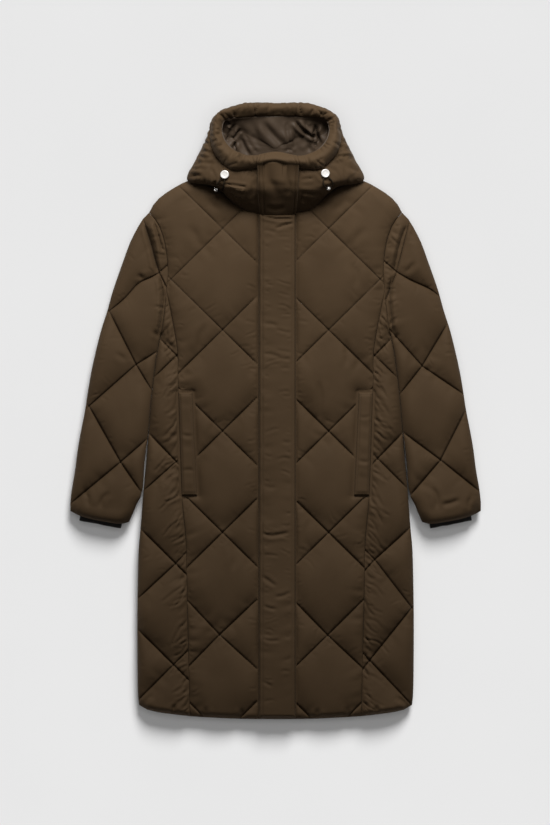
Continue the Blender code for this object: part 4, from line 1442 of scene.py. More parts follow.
@dataclass
class QuiltedBody:
    """The back, the fronts and the sleeves, with their quilting."""

    pattern: Pattern = Pattern()
    layers: Layers = Layers()
    hood: HoodForm = field(default_factory=HoodForm)
    cuffs: KnitCuffs = field(default_factory=KnitCuffs)
    parts: int = 8
    under_parts: int = 4
    flat_margin: float = 1.5
    welt_margin: float = 5.0
    welt_crease: float = 3.4
    edge_rings: tuple[float, ...] = (5.0, 13.0)
    line_clear: float = 3.0
    stitch_groove: float = 3.4
    groove_width: float = 1.8
    held_width: float = 4.0
    swell: float = 1.4
    crinkle: float = 0.3
    puckers: Puckers = Puckers(depth=0.9)
    seam_puckers: Puckers = Puckers(depth=1.2, pitch=11.0, reach=8.0)
    folds: tuple[Fold, ...] = set_folds(
        # the sleeves' caps, inner edges and cuffs
        (6, 4, 0.45, 1, -261, 374, -252, 346, -243, 312, -236, 276),
        (4, 3, 0.5, 1, -243, 380, -234, 350, -225, 318), (3.5, 5, 0.35, 0, -276, 275, -264, 261),
        (6, 3.4, 0.4, 1, -231, 268, -227, 244, -226, 220, -229, 184, -234, 150),
        (3.5, 4, 0.35, 0, -247, 161, -239, 154, -232, 142), (1.8, 5, 0.35, 0, -322, 118, -308, 108, -296, 98),
        (2.6, 5, 0.35, 0, -330, -160, -345, -176, -352, -196),
        (2.2, 5, 0.35, 0, -385, -150, -376, -172, -374, -194),
        (5.5, 4, 0.45, 1, 262, 372, 252, 346, 243, 312, 236, 276),
        (3, 5, 0.35, 0, 279, 300, 268, 284, 256, 275),
        (5, 3.4, 0.4, 1, 232, 266, 228, 244, 228, 216, 231, 184, 236, 150),
        (3.2, 4, 0.35, 0, 248, 156, 241, 148, 234, 136), (2, 5, 0.35, 0, 316, 90, 304, 82, 290, 86),
        (3, 4.5, 0.35, 0, 329, -188, 350, -184, 370, -176),
        (2.4, 5, 0.35, 0, 312, -150, 322, -172, 322, -198),
        (2.2, 4.5, 0.35, 0, 392, -166, 386, -184, 388, -200),
        # the fronts
        (2.2, 7, 0.35, 0, -138, 176, -150, 148, -155, 115),
        (2.6, 4, 0.35, 0, -223, 142, -212, 133, -201, 123), (2, 6, 0.35, 0, 86, 62, 90, 22, 88, -18),
        (2, 6, 0.35, 0, 140, 146, 143, 115, 141, 84), (1.8, 7, 0.35, 0, -62, 118, -50, 92, -48, 62),
        (1.8, 7, 0.35, 0, -88, -250, -80, -288, -86, -322), (1.6, 7, 0.35, 0, 66, -215, 60, -250, 66, -282),
        (2, 7, 0.35, 0, 150, 300, 162, 272, 160, 244), (2.2, 8, 0.35, 0, -176, 372, -160, 352, -150, 330),
        (2.2, 8, 0.35, 0, 182, 368, 166, 350, 158, 330), (2.4, 8, 0.35, 0, -140, 436, -126, 412, -104, 400),
        (2.4, 8, 0.35, 0, 142, 432, 128, 410, 108, 398),
        # the hem, where rows of stitches pull it in
        (3, 5, 0.35, 0, -68, -614, -67, -604, -66, -592), (3, 5, 0.35, 0, 84, -613, 83, -604, 84, -592),
        (2.4, 5, 0.35, 0, -140, -611, -140, -600, -138, -588),
        (2.4, 5, 0.35, 0, 146, -611, 144, -600, 143, -588),
        (3, 5, 0.35, 0, -204, -606, -203, -596, -204, -584), (3, 5, 0.35, 0, 201, -606, 202, -596, 204, -584),
        (3.2, 4.5, 0.35, 0, 240, -570, 254, -580, 264, -592),
        (2.4, 4.5, 0.35, 0, -244, -566, -256, -576, -262, -590),
    )
    seam_creases: Creases = Creases(every=26.0, shortest=8.0, longest=24.0, depth=0.9, slant=(-0.5, 0.7))
    side_creases: Creases = Creases(6.5, 16.0, 64.0, depth=1.6, width=2.6, slant=(0.45, 1.1))
    strip_creases: Creases = Creases(every=30.0, shortest=8.0, longest=26.0, depth=0.9, slant=(-0.5, 0.5))
    arm_creases: Creases = Creases(every=14.0, shortest=10.0, longest=32.0, depth=1.4)
    stitch_creases: Creases = Creases(every=46.0, shortest=10.0, longest=30.0, depth=0.6, width=2.4)
    mouth_lift: float = 6.0
    mouth_reach: float = 18.0
    mouth_half: float = 56.0
    mouth_step: float = 14.0
    under_roll: float = 15.0
    # The depth of the underside's rows of stitches, out on the flat and at a rounded edge.
    under_groove: tuple[float, float] = (1.6, 2.0)
    stitches: list = field(default_factory=list, repr=False)
    quilts: dict[str, Quilting] = field(default_factory=lambda: {
        "back": Quilting(((0, 600), (0, -620)), 363.6, 106.0, 101.2, 41),
        "front": Quilting(
            ((106, 600), (106, -620)), 363.6, 103.0, 101.2, 11, ((112, -448),),
            loose=((0.55, 1.0), (0.42, 0.8)),
        ),
        "side_front": Quilting(
            ((190, 600), (198, 110), (204, -100), (204, -620)), 110.0, 103.0, 103.0, 23,
            ((198.5, -102), (199.7, -306)),
        ),
        "sleeve_upper": Quilting(
            ((196, 470), (238, 279), (285.6, 89.6), (318.4, -100.6), (350, -290)), 89.6, 89.0, 95.5, 37,
            ((233, 275), (333, 199), (174, 158), (279, 92), (266, 390), (373, 9), (213, -18), (310, -103)),
            ((282, 246, 2, 9, 34),),
        ),
    })
    # Where the stitches of the other half lie differently.
    right_quilts: dict[str, dict] = field(default_factory=lambda: {
        "front": {"seed": 12, "crossings": ((104, -449),)},
        "side_front": {"seed": 24, "crossings": ((198, -298), (272, -394), (188, -499), (300, -618))},
        "sleeve_upper": {"seed": 38, "bows": ((312, 240, 0, 9, 38),), "crossings": (
            (242.5, 277), (361, 203), (207, 186), (293, 89), (269, 382), (391, 23), (213, -12), (330, -99),
            (424, -174),
        )},
    })

    def quilting(self, name: str, side: Side) -> Quilting:
        """One side's rows of stitches for a panel."""
        return replace(self.quilts[name], **(self.right_quilts[name] if side is Side.RIGHT else {}))

    def panel(self, cut: Cut, parts: int) -> tuple[Array, Array]:
        """A panel's flat net, with its stitch lines and creases along its edges.

        Args:
            cut: the panel.
            parts: how finely each triangle is cut.

        Returns:
            The fine net's points (x, y) and its triangles.
        """
        outline = inset(cut.outline, self.layers.seam_gap)
        points, lines = list(outline), []
        for distance in self.edge_rings:
            ring = inset(outline, distance)
            points += list(ring[inside(ring, outline)])
        for crease in cut.creases:
            kept = crease[self.well_inside(crease, outline)]
            lines += [(len(points) + k, len(points) + k + 1) for k in range(len(kept) - 1)]
            points += list(kept)
        clear = max(self.edge_rings) + 5.0
        grid, stitches = cut.quilting.grid(outline, [looped(outline), *cut.creases], clear)
        lines += [(a + len(points), b + len(points)) for a, b in stitches]
        points += list(grid)
        flat = [Vector((float(p[0]), float(p[1]))) for p in points]
        keep_inside, merge = 0, 0.4
        verts, _, faces, _, _, source = delaunay_2d_cdt(
            flat, lines, [list(range(len(outline)))], keep_inside, merge,
        )
        faces = np.array([f for f, s in zip(faces, source) if s])
        return split_faces(np.array([(v.x, v.y) for v in verts]), faces, parts)

    def well_inside(self, points: Array, outline: Array) -> Array:
        """Which points lie inside an outline and clear of it."""
        return inside(points, outline) & (distances(points, looped(outline)) > self.line_clear)

    def close(self, node: str, side: int, net: tuple[Array, Array], heights: Array, floor: float) -> Piece:
        """A closed piece: a shaped face, a wall round its edge and a flat face at its floor.

        Args:
            node: the solid that it stands for.
            side: -1 to mirror the net to -X.
            net: points (x, y) and triangles.
            heights: each point's height.
            floor: the flat face's height, under the shaped one or over it.

        Returns:
            The new piece.
        """
        flat, faces = net
        ring = boundary(faces)
        top = np.column_stack([flat * [side, 1], heights])
        low = np.column_stack([flat[ring] * [side, 1], np.full(len(ring), floor)])
        count, start = len(ring), len(top)
        walls = [(ring[k], start + k, start + (k + 1) % count, ring[(k + 1) % count]) for k in range(count)]
        under = [tuple(range(start + count - 1, start - 1, -1))]
        every = [tuple(f) for f in faces] + walls + under
        if (side < 0) != (floor > heights.max() - 0.5):
            every = [f[::-1] for f in every]
        return make_piece(f"quilted_{node}", np.concatenate([top, low]), every, SHELL, node)

    def gathered(self, points: Array, cut: Cut, full: Array) -> Array:
        """The stitch lines' grooves and the small gathers beside them and beside the seams.

        Args:
            points: places on the panel.
            cut: the panel.
            full: how full the panel is at each place.

        Returns:
            Heights to add, in millimetres.
        """
        held, gathers, grooves = np.ones(len(points)), np.zeros(len(points)), np.zeros(len(points))
        seed, shares = cut.quilting.seed, cut.quilting.drawn_in(points)
        for family, (away, along, number) in enumerate(cut.quilting.stitch_tracks(points)):
            held *= 1 - np.exp(-away / self.held_width)
            gathers += self.puckers.rise(away, along + 517.0 * number, seed * 100 + family * 10)
            grooves -= self.stitch_groove * shares[family] * np.exp(-((away / self.groove_width) ** 2))
        for k, seam in enumerate(cut.seams):
            away, along = track(points, seam)
            held *= 1 - np.exp(-np.abs(away) / self.held_width)
            gathers += self.seam_puckers.rise(np.abs(away), along, seed * 100 + 50 + 5 * k)
        x, y = points.T
        swell = Waver(seed).over(x / 70 + 40, y / 70 + 40)
        crinkle = Waver(seed + 5).over(x / 12 + 40, y / 50 + 40)
        return grooves + gathers * np.sqrt(held) + (self.swell * swell + self.crinkle * crinkle) * full

    def height(self, cut: Cut, points: Array) -> Array:
        """The height of a panel's upper face.

        Args:
            cut: the panel.
            points: places on it.

        Returns:
            Heights in millimetres.
        """
        t, full = self.layers, cut.quilting.puff(points)
        for seam in cut.seams:
            full = full * roll(distances(points, seam), t.seam_roll)
        pressed = self.pressed(points, cut.side) if cut.trimmed else np.ones(len(points))
        full = full * pressed
        loose = self.gathered(points, cut, full) + self.folded(points, cut.side) + self.creased(points, cut)
        thick = t.stitched + (t.puffed - t.stitched) * full + loose * np.minimum(0.1 + pressed * 3, 1)
        for edge, width in cut.edges:
            thick = t.lip + (thick - t.lip) * roll(distances(points, edge), width)
        return t.floor + thick + (0.0 if cut.trimmed else self.mouth_lift * self.cuff_mouth(points))

    def pressed(self, points: Array, side: Side) -> Array:
        """From 0 under the placket, the welt and the collar to 1 well clear of them.

        Args:
            points: the points (x, y), one in each row.
            side: which side's panel they are on.

        Returns:
            The share that stands free, at each point.
        """
        clear = (self.outside_placket(points, side), self.outside_welt(points), self.outside_collar(points))
        placket, welt, collar = (roll(away, self.layers.seam_roll) for away in clear)
        return placket * welt * collar

    def folded(self, points: Array, side: Side) -> Array:
        """The rise of the listed folds on one half of the coat."""
        folds = [fold for fold in self.folds if np.mean([x for x, _ in fold.path]) * side.sign > 0]
        return raised(points * [side.sign, 1], folds)

    def creased(self, points: Array, cut: Cut) -> Array:
        """The rise of the fine creases beside a panel's sewing.

        Args:
            points: the points (x, y), one in each row.
            cut: the panel's shape and sewing.

        Returns:
            The rise at each point, in millimetres.
        """
        creases = []
        for k, (line, hand, fine) in enumerate(cut.sewing):
            creases += fine.beside(line, hand, 10 * cut.quilting.seed + 7 * k)
        return raised(points, creases)

    def keep_stitches(self, cut: Cut) -> None:
        """Keep the places of a panel's stitches for the sewing, where no trim lies on them.

        Args:
            cut: the panel's shape and sewing.
        """
        for line in cut.quilting.rows(cut.outline):
            seen = self.well_inside(line, cut.outline)
            if cut.trimmed:
                seen &= self.pressed(line, cut.side) > 0
            cuts = np.flatnonzero(np.diff(np.concatenate([[0], seen.astype(int), [0]])))
            for first, last in zip(cuts[::2], cuts[1::2]):
                if last - first > 4:
                    part = line[first:last]
                    self.stitches.append(np.column_stack([part * [cut.side.sign, 1], self.height(cut, part)]))

    def outside_placket(self, points: Array, side: Side) -> Array:
        """How far each point on +X is outside the strip that the placket presses flat.

        Args:
            points: the points (x, y), one in each row.
            side: which side's panel they are on.

        Returns:
            The distance at each point, in millimetres.
        """
        left, right = self.pattern.placket
        across = side.sign * points[:, 0]
        return np.maximum(np.maximum(left - across, across - right) - self.flat_margin, 0)

    def outside_welt(self, points: Array) -> Array:
        """How far each point on +X is outside the pocket's flat place.

        Args:
            points: the points (x, y), one in each row.

        Returns:
            The distance at each point, in millimetres.
        """
        loop = np.array(self.pattern.welt, float)
        away = np.maximum(distances(points, looped(loop)) - self.welt_margin, 0.0)
        return np.where(inside(points, loop), 0.0, away)

    def collar_edge(self) -> Array:
        """The line on the fronts under the widest part of the collar."""
        return smooth_line([row[1][:2] for row in self.hood.stations[:5]], self.pattern.step)

    def outside_collar(self, points: Array) -> Array:
        """How far each point on +X is outside the part that the collar presses flat.

        Args:
            points: the points (x, y), one in each row.

        Returns:
            The distance at each point, in millimetres.
        """
        line = self.collar_edge()
        loop = np.concatenate([line, [[line[-1, 0], 600.0], [-50.0, 600.0], [-50.0, line[0, 1]]]])
        return np.where(inside(points, loop), 0.0, distances(points, line))

    def front_creases(self, side: Side) -> list[Array]:
        """The edges of a front's flat places, for +X: beside the placket, the welt and the collar.

        Args:
            side: the half of the coat that it is on.

        Returns:
            A line for each.
        """
        step, (left, right) = self.pattern.step, self.pattern.placket
        strip = (right if side is Side.RIGHT else -left) + self.flat_margin
        outer_top, inner_top, inner_low, outer_low = (np.array(c, float) for c in self.pattern.welt)
        out, up, clear = (np.array(run) for run in ((-self.welt_crease, 0), (0, self.welt_crease), (-4.0, 0)))
        corners = [outer_top + up + clear, inner_top + up + out, inner_low - up + out, outer_low - up + clear]
        sides = [straight(a, b, step) for a, b in zip(corners, corners[1:])]
        collar = self.collar_edge()
        low, high = np.array([strip, self.pattern.hem[-1][1] + 4.0]), np.array([strip, collar[0, 1] - 3.0])
        around = joined(*sides, np.array([corners[-1]] * 2))
        return [straight(low, high, step), around, collar[collar[:, 0] > strip + 3.0]]

    def upper(self, name: str, cut: Cut) -> Piece:
        """A front's or a sleeve's upper piece, with its stitches kept for the sewing.

        Args:
            name: the panel's name.
            cut: the panel.

        Returns:
            The new piece.
        """
        for line in cut.quilting.rows(cut.outline, 12.0):
            kept = line[inside(line, cut.outline)]
            if len(kept) > 3:
                cut.sewing += [(kept, hand, self.stitch_creases) for hand in (1, -1)]
        net = self.panel(cut, self.parts)
        node = f"{name}_{cut.side.value}"
        made = self.close(node, cut.side.sign, net, self.height(cut, net[0]), self.layers.floor)
        self.keep_stitches(cut)
        return made

    def make_fronts(self) -> list[Piece]:
        """The two main fronts and the two narrow side fronts.

        Returns:
            The pieces.
        """
        p, edge_roll, hem_roll = self.pattern, self.layers.edge_roll, self.layers.hem_roll
        names = ("hem", "princess_seam", "front_neck", "shoulder", "body_side", "armhole_top", "armhole_low")
        hem, seam, neck, shoulder, side_edge, arm_top, arm_low = (p.line(name) for name in names)
        corner = int(np.argmin(np.abs(hem[:, 0] - p.princess_seam[-1][0])))
        hem[corner] = p.princess_seam[-1]
        centre = straight(np.array([0.0, p.hem[-1][1]]), np.array([0.0, p.front_neck[0][1]]), p.step)
        main = joined(centre, neck, shoulder, arm_top, seam, hem[corner:])
        narrow = joined(arm_low, side_edge, hem[: corner + 1], seam[::-1])
        strip, made = self.strip_creases, []
        for side in Side:
            creases = self.front_creases(side)
            sewing = [(seam, -1, self.seam_creases), (creases[0], -1, strip), (arm_top, -1, strip)]
            edges, quilting = [(shoulder, edge_roll), (hem, hem_roll)], self.quilting("front", side)
            cut = Cut(side, main, quilting, [seam, arm_top], edges, sewing, creases)
            made.append(self.upper("front", cut))
            sewing = [(seam, 1, self.side_creases), (side_edge, -1, strip)]
            edges, quilting = [(side_edge, edge_roll), (hem, hem_roll)], self.quilting("side_front", side)
            cut = Cut(side, narrow, quilting, [seam, arm_low], edges, sewing)
            made.append(self.upper("side_front", cut))
        return padded(made, 0.55)

    def cuff_mouth(self, points: Array) -> Array:
        """From 0 to 1 where the sleeve's end stands open round the knitted cuff, for +X.

        Args:
            points: the points (x, y), one in each row.

        Returns:
            How open it is at each point.
        """
        away, turn = points - np.array(self.cuffs.end), self.cuffs.turn
        across = away[:, 0] * math.cos(turn) + away[:, 1] * math.sin(turn)
        window = np.maximum(1 - np.abs(across / self.mouth_half) ** 3, 0)
        from_hem = distances(points, self.pattern.line("cuff_hem", self.mouth_step))
        return np.exp(-((from_hem / self.mouth_reach) ** 2)) * window

    def make_sleeves(self) -> list[Piece]:
        """The sleeves' upper and under pieces.

        Returns:
            The pieces.
        """
        p, t = self.pattern, self.layers
        armhole = np.concatenate([p.line("armhole_top")[:-1], p.line("armhole_low")])
        outer, inner = p.line("sleeve_outer"), p.line("sleeve_inner")
        hem = p.line("cuff_hem", self.mouth_step)
        loop, free = joined(outer, hem, inner, armhole[::-1]), [outer, hem, inner]
        edges = [(edge, t.edge_roll) for edge in free]
        made = []
        for side in Side:
            sewing = [(armhole, 1, self.arm_creases), (inner, 1, self.strip_creases)]
            sewing.append((outer, -1, self.strip_creases))
            quilting = self.quilting("sleeve_upper", side)
            cut = Cut(side, loop, quilting, [armhole], edges, sewing, trimmed=False)
            upper = self.upper("sleeve_upper", cut)
            net = self.panel(cut, self.under_parts)
            heights = self.under_height(net[0], quilting, free)
            heights = np.maximum(heights - self.mouth_lift * self.cuff_mouth(net[0]), 0.0)
            under = self.close(f"sleeve_under_{side.value}", side.sign, net, heights, t.back)
            for piece in (upper, under):
                self.cuffs.take_place(piece, side)
                made.append(piece)
        return padded(made, 0.6)

    def under_height(self, points: Array, quilting: Quilting, edges: Sequence[Array]) -> Array:
        """The height of an underside that rests flat, with shallow rows of stitches and rounded edges.

        Args:
            points: places on the panel.
            quilting: its stitch lines.
            edges: its rounded edges.

        Returns:
            Heights in millimetres.
        """
        t, (flat_depth, edge_depth) = self.layers, self.under_groove
        rounding = roll(np.min([distances(points, edge) for edge in edges], axis=0), self.under_roll)
        grooves, width = np.zeros(len(points)), 3.5
        for away, _, _ in quilting.stitch_tracks(points):
            grooves = np.maximum(grooves, np.exp(-((away / width) ** 2)))
        depth = flat_depth * rounding + edge_depth * (1 - rounding)
        return (t.back - t.lip) * (1 - rounding) + depth * grooves

    def make_back(self) -> list[Piece]:
        """The back, whose underside rests on the surface.

        Returns:
            The piece, alone in a list.
        """
        names = ("back_neck", "shoulder", "armhole_top", "armhole_low", "body_side", "hem")
        half = [self.pattern.line(name) for name in names]
        right = np.concatenate([line[:-1] for line in half] + [half[-1][-1:]])
        outline = np.concatenate([right, (right * [-1, 1])[1:-1][::-1]])
        quilting = self.quilts["back"]
        net = self.panel(Cut(Side.RIGHT, outline, quilting), self.under_parts)
        edges = [line * [sign, 1] for line in (half[1], half[4], half[5]) for sign in (-1, 1)]
        heights = self.under_height(net[0], quilting, edges)
        return padded([self.close("back", 1, net, heights, self.layers.back)], 0.5)


@dataclass(frozen=True)
class Strip:
    """A soft four-cornered strip of cloth laid on the fronts, with its rows of stitches.

    Its corners go round it from the upper outer one. A row of stitches is a share of its width,
    and a row across an end is a share of its length.
    """

    name: str
    node: str
    corners: Rows
    base: float
    thick: float
    rows: tuple[float, ...]
    ends: tuple[float, ...] = ()
    folds: tuple[Fold, ...] = ()
    creases: Creases | None = None
    roll_width: float = 7.0
    across: int = 30
    step: float = 3.0
    seed: int = 5
    lip: float = 1.0
    swell: float = 0.8
    groove: float = 1.5
    groove_width: float = 1.5
    puckers: Puckers = Puckers(depth=0.8, pitch=12.0, reach=7.0)

    def places(self, u: Array, v: Array) -> Array:
        """The places a share u across and v down the strip.

        Args:
            u: the shares across.
            v: the shares down.

        Returns:
            The points (x, y).
        """
        outer_top, inner_top, inner_low, outer_low = (np.array(c, float) for c in self.corners)
        u, v = u[..., None], v[..., None]
        return (outer_top * (1 - u) + inner_top * u) * (1 - v) + (outer_low * (1 - u) + inner_low * u) * v

    def size(self) -> tuple[float, float]:
        """The strip's width and length."""
        first, second, third, _ = (np.array(c, float) for c in self.corners)
        return float(np.linalg.norm(second - first)), float(np.linalg.norm(third - second))

    def height(self, u: Array, v: Array) -> Array:
        """The upper face's height.

        Args:
            u: shares of the way across the strip.
            v: shares of the way down it.

        Returns:
            Heights in millimetres.
        """
        width, length = self.size()
        rise, held = np.zeros_like(u), 3.0
        for k, row in enumerate(self.rows):
            away = np.abs(u - row) * width
            rise -= self.groove * np.exp(-((away / self.groove_width) ** 2))
            gathers = self.puckers.rise(away, v * length, self.seed + 31 * k)
            rise += gathers * np.sqrt(1 - np.exp(-away / held))
        for row in self.ends:
            rise -= self.groove * np.exp(-(((v - row) * length / self.groove_width) ** 2))
        flat = self.places(u, v).reshape(-1, 2)
        for fold in (*self.folds, *self.fine_folds()):
            rise += fold.rise(flat).reshape(u.shape)
        swell = Waver(self.seed).over(u * width / 45, v * length / 60)
        sides = (np.minimum(u, 1 - u) * width, np.minimum(v, 1 - v) * length)
        edge = np.minimum(*(roll(away, self.roll_width) for away in sides))
        return self.base + self.lip + (self.thick - self.lip + rise + self.swell * swell) * edge

    def fine_folds(self) -> list[Fold]:
        """The fine creases that run in from both long edges.

        Returns:
            The creases.
        """
        if self.creases is None:
            return []
        down = np.linspace(0.01, 0.99, 60)
        left, right = (self.places(np.full(60, share), down) for share in (0.13, 0.9))
        return self.creases.beside(left, 1, self.seed) + self.creases.beside(right, -1, self.seed + 1)

    def make(self) -> Piece:
        """Build the strip.

        Returns:
            The new piece.
        """
        _, length = self.size()
        down = max(8, round(length / self.step))
        u = 0.5 - 0.5 * np.cos(np.linspace(0, math.pi, self.across + 1))
        u = 0.6 * u + 0.4 * np.linspace(0, 1, self.across + 1)
        near, far = [0, 0.3, 1, 2], [length - 2, length - 1, length - 0.3, length]
        v = np.concatenate([near, np.linspace(4, length - 4, down), far])
        grid_u, grid_v = np.meshgrid(u, v / length)
        top = np.concatenate([self.places(grid_u, grid_v), self.height(grid_u, grid_v)[..., None]], axis=-1)
        rows, columns = top.shape[:2]
        number = np.arange(rows * columns).reshape(rows, columns)
        ring = [*number[0, :-1], *number[:-1, -1], *number[-1, :0:-1], *number[:0:-1, 0]]
        top = top.reshape(-1, 3)
        start = len(top)
        faces = grid_faces(rows, columns) + skirt_faces(ring, start)
        faces.append(tuple(range(start, start + len(ring))))
        points = np.concatenate([top, top[ring] * [1, 1, 0] + [0, 0, self.base]])
        return make_piece(self.name, points, outward_faces(points, faces), SHELL, self.node)

    def stitch_lines(self) -> list[Array]:
        """The places of its rows of stitches, on its surface.

        Returns:
            The rows, each as points (x, y, z).
        """
        width, length = self.size()
        down = np.linspace(3 / length, 1 - 3 / length, max(2, round(length / 2)))
        across = np.linspace(0.12, 0.88, max(2, round(width / 2)))
        lines = [(np.full_like(down, row), down) for row in self.rows]
        lines += [(across, np.full_like(across, row)) for row in self.ends]
        return [np.column_stack([self.places(u, v), self.height(u, v)]) for u, v in lines]


@dataclass
class Trims:
    """The placket down the middle and the two pocket welts."""

    layers: Layers = Layers()
    pattern: Pattern = Pattern()
    placket_ends: tuple[float, float] = (-612.4, 394.0)
    placket_thick: float = 11.0
    # From the placket's left edge a double row, and from its right edge a single one.
    placket_rows: tuple[float, float, float] = (1.2, 8.6, 6.0)
    welt_thick: float = 7.0
    placket_folds: tuple[Fold, ...] = set_folds(
        (2.6, 3.5, 0.35, 0, -28, -244, -8, -249, 12, -246, 28, -243),
        (2, 3.5, 0.35, 0, -28, -329, -12, -341, 2, -351), (1.7, 3.5, 0.35, 0, -3, -372, 16, -369, 32, -361),
        (1.6, 3, 0.35, 0, -25, -388, -12, -394, 3, -396), (1.4, 3, 0.35, 0, -27, -454, -10, -459, 10, -458),
        (1.3, 3, 0.35, 0, -26, -538, -15, -546, -5, -552), (2.8, 2.6, 0.6, 1, -30, 391, 1, 384, 36, 384),
        (2.6, 3, 0.6, 1, -1, 364, 16, 370, 37, 376), (1.2, 3.5, 0.35, 0, -26, 360, -12, 360, 4, 355),
        (1.2, 3.5, 0.35, 0, -26, 174, -10, 174, 6, 169), (1.2, 3.5, 0.35, 0, -26, 114, -8, 113, 12, 105),
        (0.9, 3.5, 0.35, 0, 10, -60, 24, -63, 34, -60), (0.9, 3.5, 0.35, 0, -24, -150, -8, -153, 4, -150),
    )
    placket_creases: Creases = Creases(24.0, 8.0, 36.0, depth=0.9, width=2.3, slant=(-0.4, 0.4))
    welt_folds: tuple[Fold, ...] = set_folds(
        (1.6, 3.5, 0.35, 0, -190, -46, -176, -50, -163, -49),
        (1.6, 3.5, 0.35, 0, 163, -98, 176, -102, 189, -101),
        (0.9, 3, 0.35, 0, -188, -120, -174, -117, -161, -121), (0.9, 3, 0.35, 0, 166, -10, 178, -13, 191, -9),
    )

    def strips(self) -> list[Strip]:
        """The placket and the welts, with their rows of stitches.

        Returns:
            The strips.
        """
        (low, high), (left, right) = self.placket_ends, self.pattern.placket
        base, width = self.layers.floor + self.layers.stitched + self.layers.gap, right - left
        first, second, last = (row / width for row in self.placket_rows)
        strips = [Strip(
            "placket_strip", "placket", ((left, high), (right, high), (right, low), (left, low)), base,
            self.placket_thick, (first, second, 1 - last), (), self.placket_folds, self.placket_creases,
            across=40, step=2.0, seed=61,
        )]
        for side in Side:
            node = f"pocket_welt_{side.value}"
            corners = tuple((side.sign * x, y) for x, y in self.pattern.welt)
            strips.append(Strip(
                node.replace("welt_", "welt_strip_"), node, corners, base, self.welt_thick, (0.1, 0.84),
                (0.022, 0.978), self.welt_folds, across=18, step=2.5, seed=71 + 4 * side.sign,
            ))
        return strips

    def make(self) -> list[Piece]:
        """Build the strips."""
        return padded([strip.make() for strip in self.strips()], 0.3)

    def stitch_lines(self) -> list[Array]:
        """Every row of stitches on the strips."""
        return [line for strip in self.strips() for line in strip.stitch_lines()]


